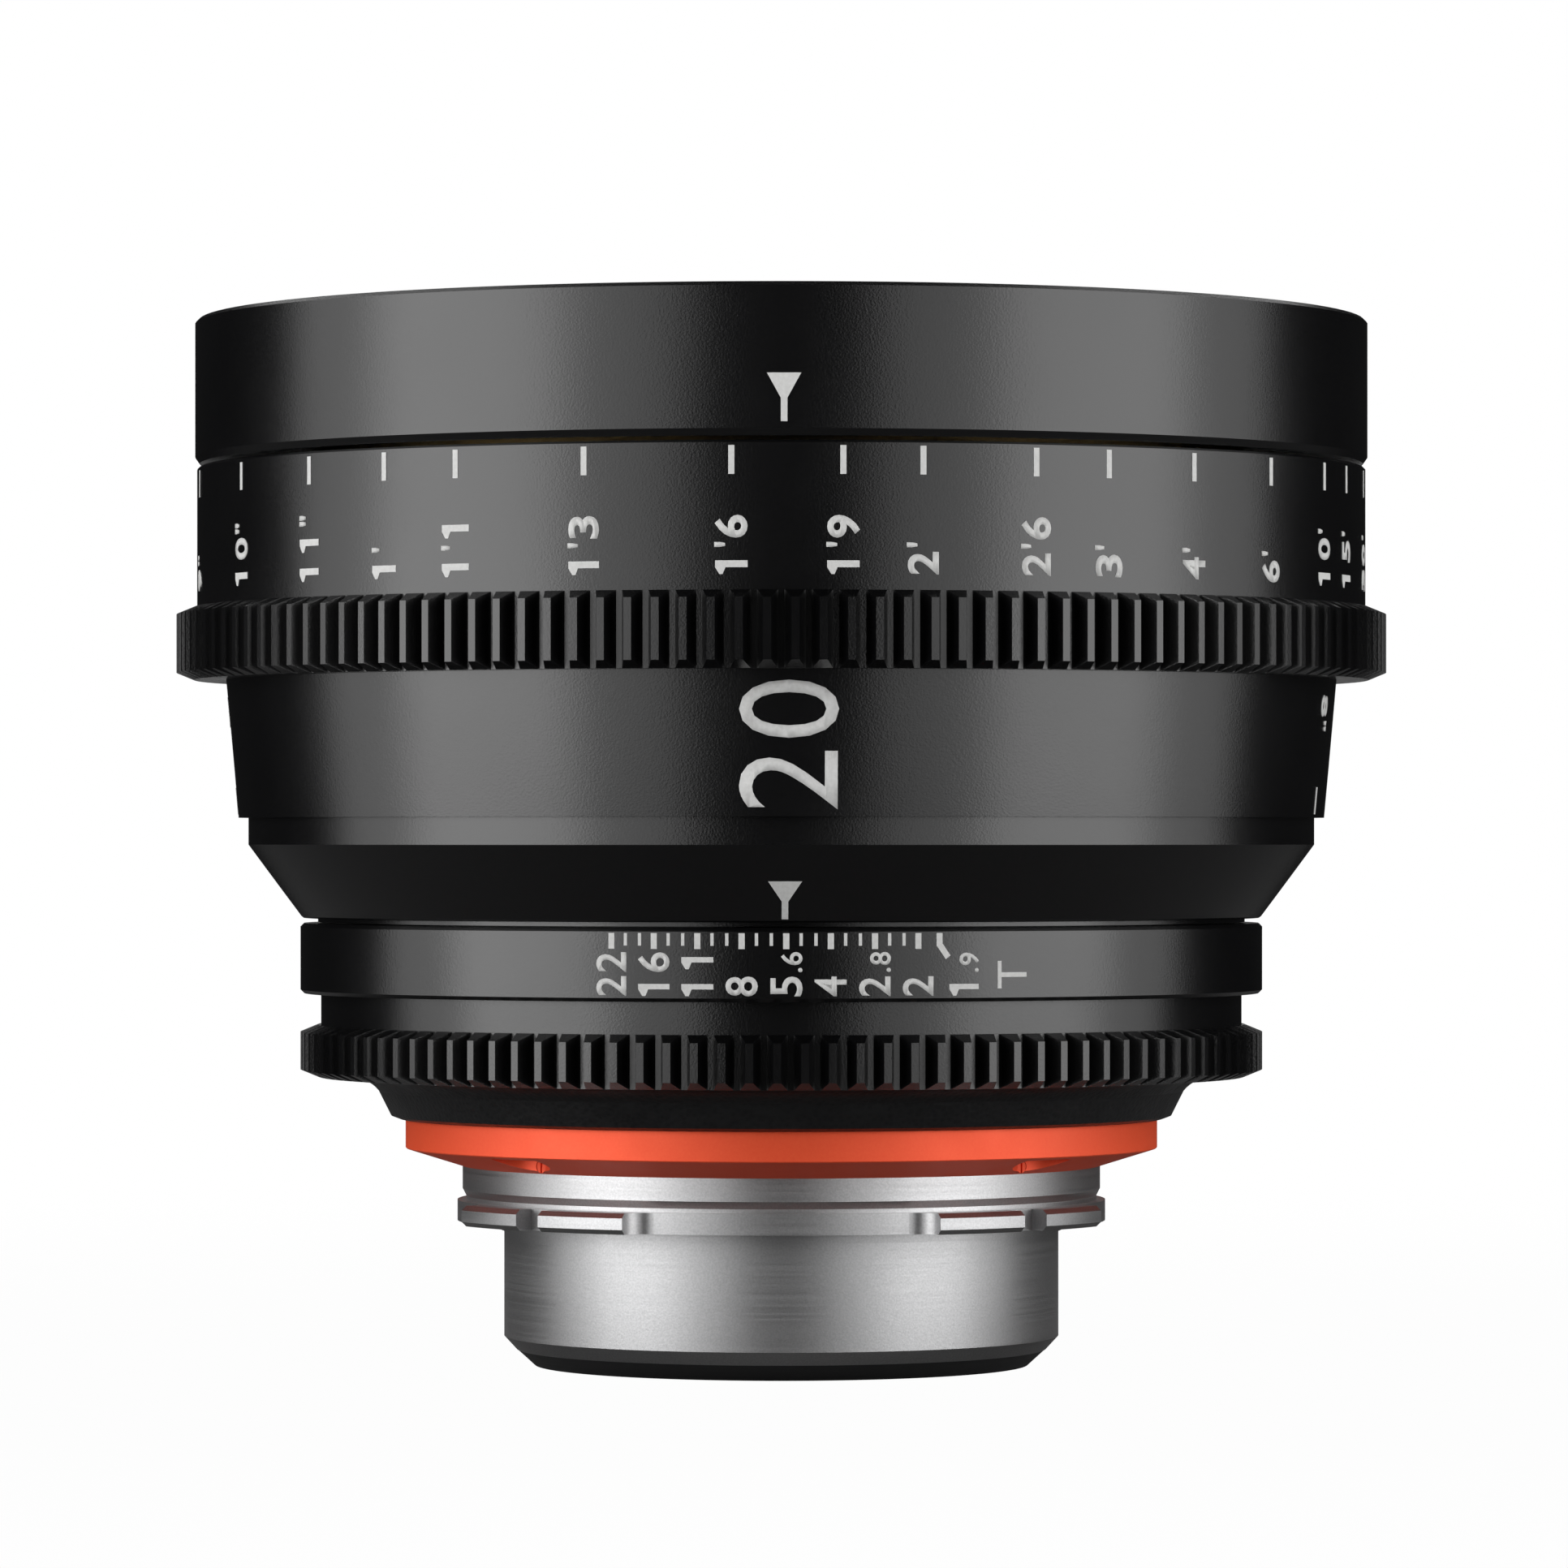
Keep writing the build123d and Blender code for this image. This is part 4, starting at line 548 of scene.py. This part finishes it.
band_marks, skirt_marks = [], []
for words, angle in distance_marks.items():
    tick = flat_bar(tick_length, tick_width)
    wrap_on_ring(tick, band_radius_at, angle, band_tick_z)
    number = flat_number(words, number_height, number_width_share, number_weight, number_stroke_share)
    wrap_on_ring(number, band_radius_at, angle, band_number_z)
    band_marks += [tick, number]
    tick = flat_bar(tick_length, tick_width)
    tick_front_z = skirt_tick_z + tick_length
    wrap_on_ring(tick, skirt_radius_at, angle + skirt_tick_turn, tick_front_z, turned_over=True)
    number = flat_number(words, number_height, number_width_share, number_weight, number_stroke_share)
    wrap_on_ring(number, skirt_radius_at, angle + skirt_number_turn, skirt_number_z, turned_over=True)
    skirt_marks += [tick, number]
join_marks(band_marks, "distance_scale", "focus")
join_marks(skirt_marks, "distance_scale_turned_over", "focus")

# %% [markdown]
# ## The focal length
# The big number on the skirt is the focal length in millimetres. It is nine millimetres tall, too large for
# flat faces on a ring of this size, so it is cut into strips before it is wrapped.

# %% Focal length number
focal_number_height = 9.07 * MM
focal_width_share, focal_weight, focal_stroke_share = 0.58, -0.002, 0.11
focal_number_angle, focal_number_z = 0.4, 53.85 * MM
strip_width = 0.8 * MM
focal_number = flat_number("20", focal_number_height, focal_width_share, focal_weight, focal_stroke_share)
cut_finer(focal_number, strip_width)
wrap_on_ring(focal_number, skirt_radius_at, focal_number_angle, focal_number_z)
join_marks([focal_number], "focal_length_number", "focus")

# %% [markdown]
# ## The iris scale
# One stop is five degrees of the iris ring, with two short ticks for thirds of a stop between the long ones.
# The widest opening is not a whole stop from its neighbour, so its mark is bent: its upper part stands at
# the true place and its lower part leads off to the number, which would not fit there. The letter T says
# that the scale counts the light that passes.

# %% Iris scale
stop_step = 5.0
iris_marks_table = {
    "22": -19.8, "16": -14.8, "11": -9.8, "8": -4.8, "5.6": 0.2, "4": 5.2, "2.8": 10.2, "2": 15.2,
}
iris_radius = 46.8 * MM
iris_tick_top_z = 42.52 * MM
iris_number_z = 36.75 * MM
iris_number_height = 2.97 * MM
iris_width_share, iris_weight, iris_stroke_share = 0.61, 0.015, 0.165
stop_tick_length, stop_tick_width = 1.45 * MM, 0.57 * MM
third_tick_length, third_tick_width = 1.15 * MM, 0.3 * MM
widest_tick_angle, widest_number_angle = 17.7, 20.65
widest_number_height = 2.9 * MM
bend_turn = 35
bend_upper_length, bend_lower_length = 1.2 * MM, 1.45 * MM
bend_drop = 1.05 * MM
letter_height, letter_stroke_share = 3.1 * MM, 0.15
letter_angle, letter_z = 26.65, 37.4 * MM


def iris_radius_at(z):
    """The scale's part of the iris ring is a plain cylinder."""
    return iris_radius


iris_marks = []
for words, angle in iris_marks_table.items():
    tick = flat_bar(stop_tick_length, stop_tick_width)
    wrap_on_ring(tick, iris_radius_at, angle, iris_tick_top_z - stop_tick_length)
    number = flat_number(words, iris_number_height, iris_width_share, iris_weight, iris_stroke_share)
    wrap_on_ring(number, iris_radius_at, angle, iris_number_z)
    iris_marks += [tick, number]
    for third in (1, 2):
        if words != "2":
            tick = flat_bar(third_tick_length, third_tick_width)
            third_angle = angle + third * stop_step / 3
            wrap_on_ring(tick, iris_radius_at, third_angle, iris_tick_top_z - third_tick_length)
            iris_marks.append(tick)
for turn, length, drop in ((0, bend_upper_length, 0.0), (bend_turn, bend_lower_length, bend_drop)):
    bent = flat_bar(length, stop_tick_width)
    for vertex in bent.data.vertices:
        along, across = vertex.co.x - length, vertex.co.y
        vertex.co.x = along * cos(radians(turn)) - across * sin(radians(turn)) - drop
        vertex.co.y = along * sin(radians(turn)) + across * cos(radians(turn))
    wrap_on_ring(bent, iris_radius_at, widest_tick_angle, iris_tick_top_z)
    iris_marks.append(bent)
widest = flat_number("1.9", widest_number_height, iris_width_share, iris_weight, iris_stroke_share)
wrap_on_ring(widest, iris_radius_at, widest_number_angle, iris_number_z)
iris_marks.append(widest)
letter = flat_number("T", letter_height, iris_width_share, 0.0, letter_stroke_share)
wrap_on_ring(letter, iris_radius_at, letter_angle, letter_z)
iris_marks.append(letter)
join_marks(iris_marks, "iris_scale", "iris")

# %% [markdown]
# ## The index arrows
# An arrow on the front ring points at the distance scale, and one on the rear barrel at the iris scale. Both
# ride on the barrel, because an index stands still while its scale turns. The rear one lies on a cone, so
# the radius under it grows with height.

# %% Index arrows
arrow_width, arrow_stem_width = 3.1 * MM, 0.6 * MM
front_arrow_length, front_arrow_point = 4.38 * MM, 2.27 * MM
front_arrow_angle, front_arrow_z = -0.1, 88.75 * MM
front_ring_radius = 57.0 * MM
rear_arrow_length, rear_arrow_point = 3.48 * MM, 1.85 * MM
rear_arrow_angle, rear_arrow_z = 0.05, 43.79 * MM
cone_rear_z, cone_front_z = 43.65 * MM, 50.6 * MM
cone_rear_radius, cone_front_radius = 46.7 * MM, 51.85 * MM


def front_ring_radius_at(z):
    """The front ring is a plain cylinder where its arrow stands."""
    return front_ring_radius


def cone_radius_at(z):
    """The rear barrel's cone, from its rear edge to its front edge."""
    along = (z - cone_rear_z) / (cone_front_z - cone_rear_z)
    return cone_rear_radius + along * (cone_front_radius - cone_rear_radius)


front_arrow = flat_arrow(front_arrow_length, front_arrow_point, arrow_width, arrow_stem_width)
wrap_on_ring(front_arrow, front_ring_radius_at, front_arrow_angle, front_arrow_z)
join_marks([front_arrow], "front_index_arrow", "barrel")
rear_arrow = flat_arrow(rear_arrow_length, rear_arrow_point, arrow_width, arrow_stem_width)
wrap_on_ring(rear_arrow, cone_radius_at, rear_arrow_angle, rear_arrow_z)
join_marks([rear_arrow], "rear_index_arrow", "barrel")

# %% [markdown]
# ## The table
# The lens stands on a pale table that fades out into a white background, with no horizon. The floor is a
# disc that turns clear towards its edge, and it is clear from below too, so that the rear of the lens can be
# looked at. To the camera it is nearly all even white with a trace of the soft shadow, while the lens sees a
# greyer table, which keeps its black undersides black.

# %% Floor
bpy.ops.object.select_all(action="DESELECT")
floor_radius = 600 * MM
floor_drop = 0.05 * MM
fade_start, fade_end = 60 * MM, 400 * MM
bpy.ops.mesh.primitive_circle_add(
    vertices=96, radius=floor_radius, fill_type="NGON", location=(0, 0, -floor_drop)
)
floor = bpy.context.object
floor.name = "pale_table"
table_finish, table_shader = new_finish("table_white", (0.16, 0.16, 0.16), roughness=0.9, specular=0.1)
floor_tree = table_finish.node_tree
points = floor_tree.nodes.new("ShaderNodeTexCoord")
distance_out = floor_tree.nodes.new("ShaderNodeVectorMath")
distance_out.operation = "LENGTH"
fade = floor_tree.nodes.new("ShaderNodeMapRange")
fade.interpolation_type = "SMOOTHSTEP"
fade.inputs["From Min"].default_value = fade_start
fade.inputs["From Max"].default_value = fade_end
seen_from_below = floor_tree.nodes.new("ShaderNodeNewGeometry")
fade_or_below = floor_tree.nodes.new("ShaderNodeMath")
fade_or_below.operation = "MAXIMUM"
clear = floor_tree.nodes.new("ShaderNodeBsdfTransparent")
glow = floor_tree.nodes.new("ShaderNodeEmission")
floor_path = floor_tree.nodes.new("ShaderNodeLightPath")
lit_mix = floor_tree.nodes.new("ShaderNodeMixShader")
glow_share = floor_tree.nodes.new("ShaderNodeMath")
glow_share.operation = "MULTIPLY"
glow_share.inputs[1].default_value = 0.98
edge_mix = floor_tree.nodes.new("ShaderNodeMixShader")
floor_tree.links.new(floor_path.outputs["Is Camera Ray"], glow_share.inputs[0])
floor_tree.links.new(glow_share.outputs[0], lit_mix.inputs["Fac"])
floor_tree.links.new(table_shader.outputs[0], lit_mix.inputs[1])
floor_tree.links.new(glow.outputs[0], lit_mix.inputs[2])
floor_tree.links.new(points.outputs["Object"], distance_out.inputs[0])
floor_tree.links.new(distance_out.outputs["Value"], fade.inputs["Value"])
floor_tree.links.new(fade.outputs["Result"], fade_or_below.inputs[0])
floor_tree.links.new(seen_from_below.outputs["Backfacing"], fade_or_below.inputs[1])
floor_tree.links.new(fade_or_below.outputs[0], edge_mix.inputs["Fac"])
floor_tree.links.new(lit_mix.outputs[0], edge_mix.inputs[1])
floor_tree.links.new(clear.outputs[0], edge_mix.inputs[2])
floor_tree.links.new(edge_mix.outputs[0], floor_tree.nodes["Material Output"].inputs["Surface"])
floor.data.materials.append(table_finish)
print("floor ready")

# %% [markdown]
# ## The background
# The camera has to see plain white, but a white room all round would wash out the black rings. So the world
# is white for the camera, and for reflections and glass only in a narrow cone straight behind the lens.
# Everywhere else it is a dim room. The cone is found from the direction of the ray, by how near it comes to
# the Y axis.

# %% World
white_cone_edge, white_cone_core = radians(7), radians(3)
world = bpy.data.worlds.new("studio")
bpy.context.scene.world = world
world.use_nodes = True
world_tree = world.node_tree
world_tree.nodes.clear()
world_path = world_tree.nodes.new("ShaderNodeLightPath")
ray_direction = world_tree.nodes.new("ShaderNodeTexCoord")
direction_parts = world_tree.nodes.new("ShaderNodeSeparateXYZ")
behind = world_tree.nodes.new("ShaderNodeMapRange")
behind.inputs["From Min"].default_value = cos(white_cone_edge)
behind.inputs["From Max"].default_value = cos(white_cone_core)
gloss_or_glass = world_tree.nodes.new("ShaderNodeMath")
gloss_or_glass.operation = "MAXIMUM"
shown_behind = world_tree.nodes.new("ShaderNodeMath")
shown_behind.operation = "MULTIPLY"
any_white = world_tree.nodes.new("ShaderNodeMath")
any_white.operation = "MAXIMUM"
room = world_tree.nodes.new("ShaderNodeBackground")
room.inputs["Color"].default_value = (0.85, 0.86, 0.88, 1)
room.inputs["Strength"].default_value = 0.01
white = world_tree.nodes.new("ShaderNodeBackground")
white.inputs["Color"].default_value = (1, 1, 1, 1)
white.inputs["Strength"].default_value = 1.0
choose = world_tree.nodes.new("ShaderNodeMixShader")
world_out = world_tree.nodes.new("ShaderNodeOutputWorld")
world_tree.links.new(ray_direction.outputs["Generated"], direction_parts.inputs[0])
world_tree.links.new(direction_parts.outputs["Y"], behind.inputs["Value"])
world_tree.links.new(world_path.outputs["Is Glossy Ray"], gloss_or_glass.inputs[0])
world_tree.links.new(world_path.outputs["Is Transmission Ray"], gloss_or_glass.inputs[1])
world_tree.links.new(gloss_or_glass.outputs[0], shown_behind.inputs[0])
world_tree.links.new(behind.outputs["Result"], shown_behind.inputs[1])
world_tree.links.new(world_path.outputs["Is Camera Ray"], any_white.inputs[0])
world_tree.links.new(shown_behind.outputs[0], any_white.inputs[1])
world_tree.links.new(any_white.outputs[0], choose.inputs["Fac"])
world_tree.links.new(room.outputs[0], choose.inputs[1])
world_tree.links.new(white.outputs[0], choose.inputs[2])
world_tree.links.new(choose.outputs[0], world_out.inputs["Surface"])
print("world ready")


# %% [markdown]
# ## The lamps
# A black ring shows little but the reflections of its lamps, so their width is what shapes it. On each side
# stand two softboxes, a narrow one for the bright core of the highlight and a wide one for its soft falloff.
# They leave the camera's own direction free, so a dark band stays between them. The right pair is a little
# weaker, as in the picture. One more hangs behind the lens and lights its rim.

# %% Softboxes
side_azimuth, side_elevation = 62, 6
narrow_softbox = {"distance": 1.0, "width": 0.75, "height": 1.3, "power": 7.0}
wide_softbox = {"distance": 1.1, "width": 2.1, "height": 1.3, "power": 12.5}
back_softbox = {"distance": 1.0, "width": 1.2, "height": 0.8, "power": 4.0}
back_azimuth, back_elevation = 180, 55


def softbox(name, azimuth, elevation, distance, width, height, power, share=1.0):
    """A rectangular lamp, its sizes in metres and its power in watts, that faces the middle of the lens.
    Azimuth 0 is the camera's side, and share weakens the lamp."""
    data = bpy.data.lights.new(name, "AREA")
    data.shape = "RECTANGLE"
    data.size, data.size_y = width, height
    data.energy = power * share
    lamp = bpy.data.objects.new(name, data)
    a, e = radians(azimuth), radians(elevation)
    target = Vector((0, 0, camera_height))
    lamp.location = target + distance * Vector((cos(e) * sin(a), -cos(e) * cos(a), sin(e)))
    lamp.rotation_euler = (target - lamp.location).to_track_quat("-Z", "Y").to_euler()
    bpy.context.scene.collection.objects.link(lamp)


for side, turn, share in (("left", -1, 1.0), ("right", 1, 0.85)):
    azimuth = turn * side_azimuth
    softbox(side + "_softbox", azimuth, side_elevation, **narrow_softbox, share=share)
    softbox(side + "_wide_softbox", azimuth, side_elevation, **wide_softbox, share=share)
softbox("back_softbox", back_azimuth, back_elevation, **back_softbox)
print("lamps ready")
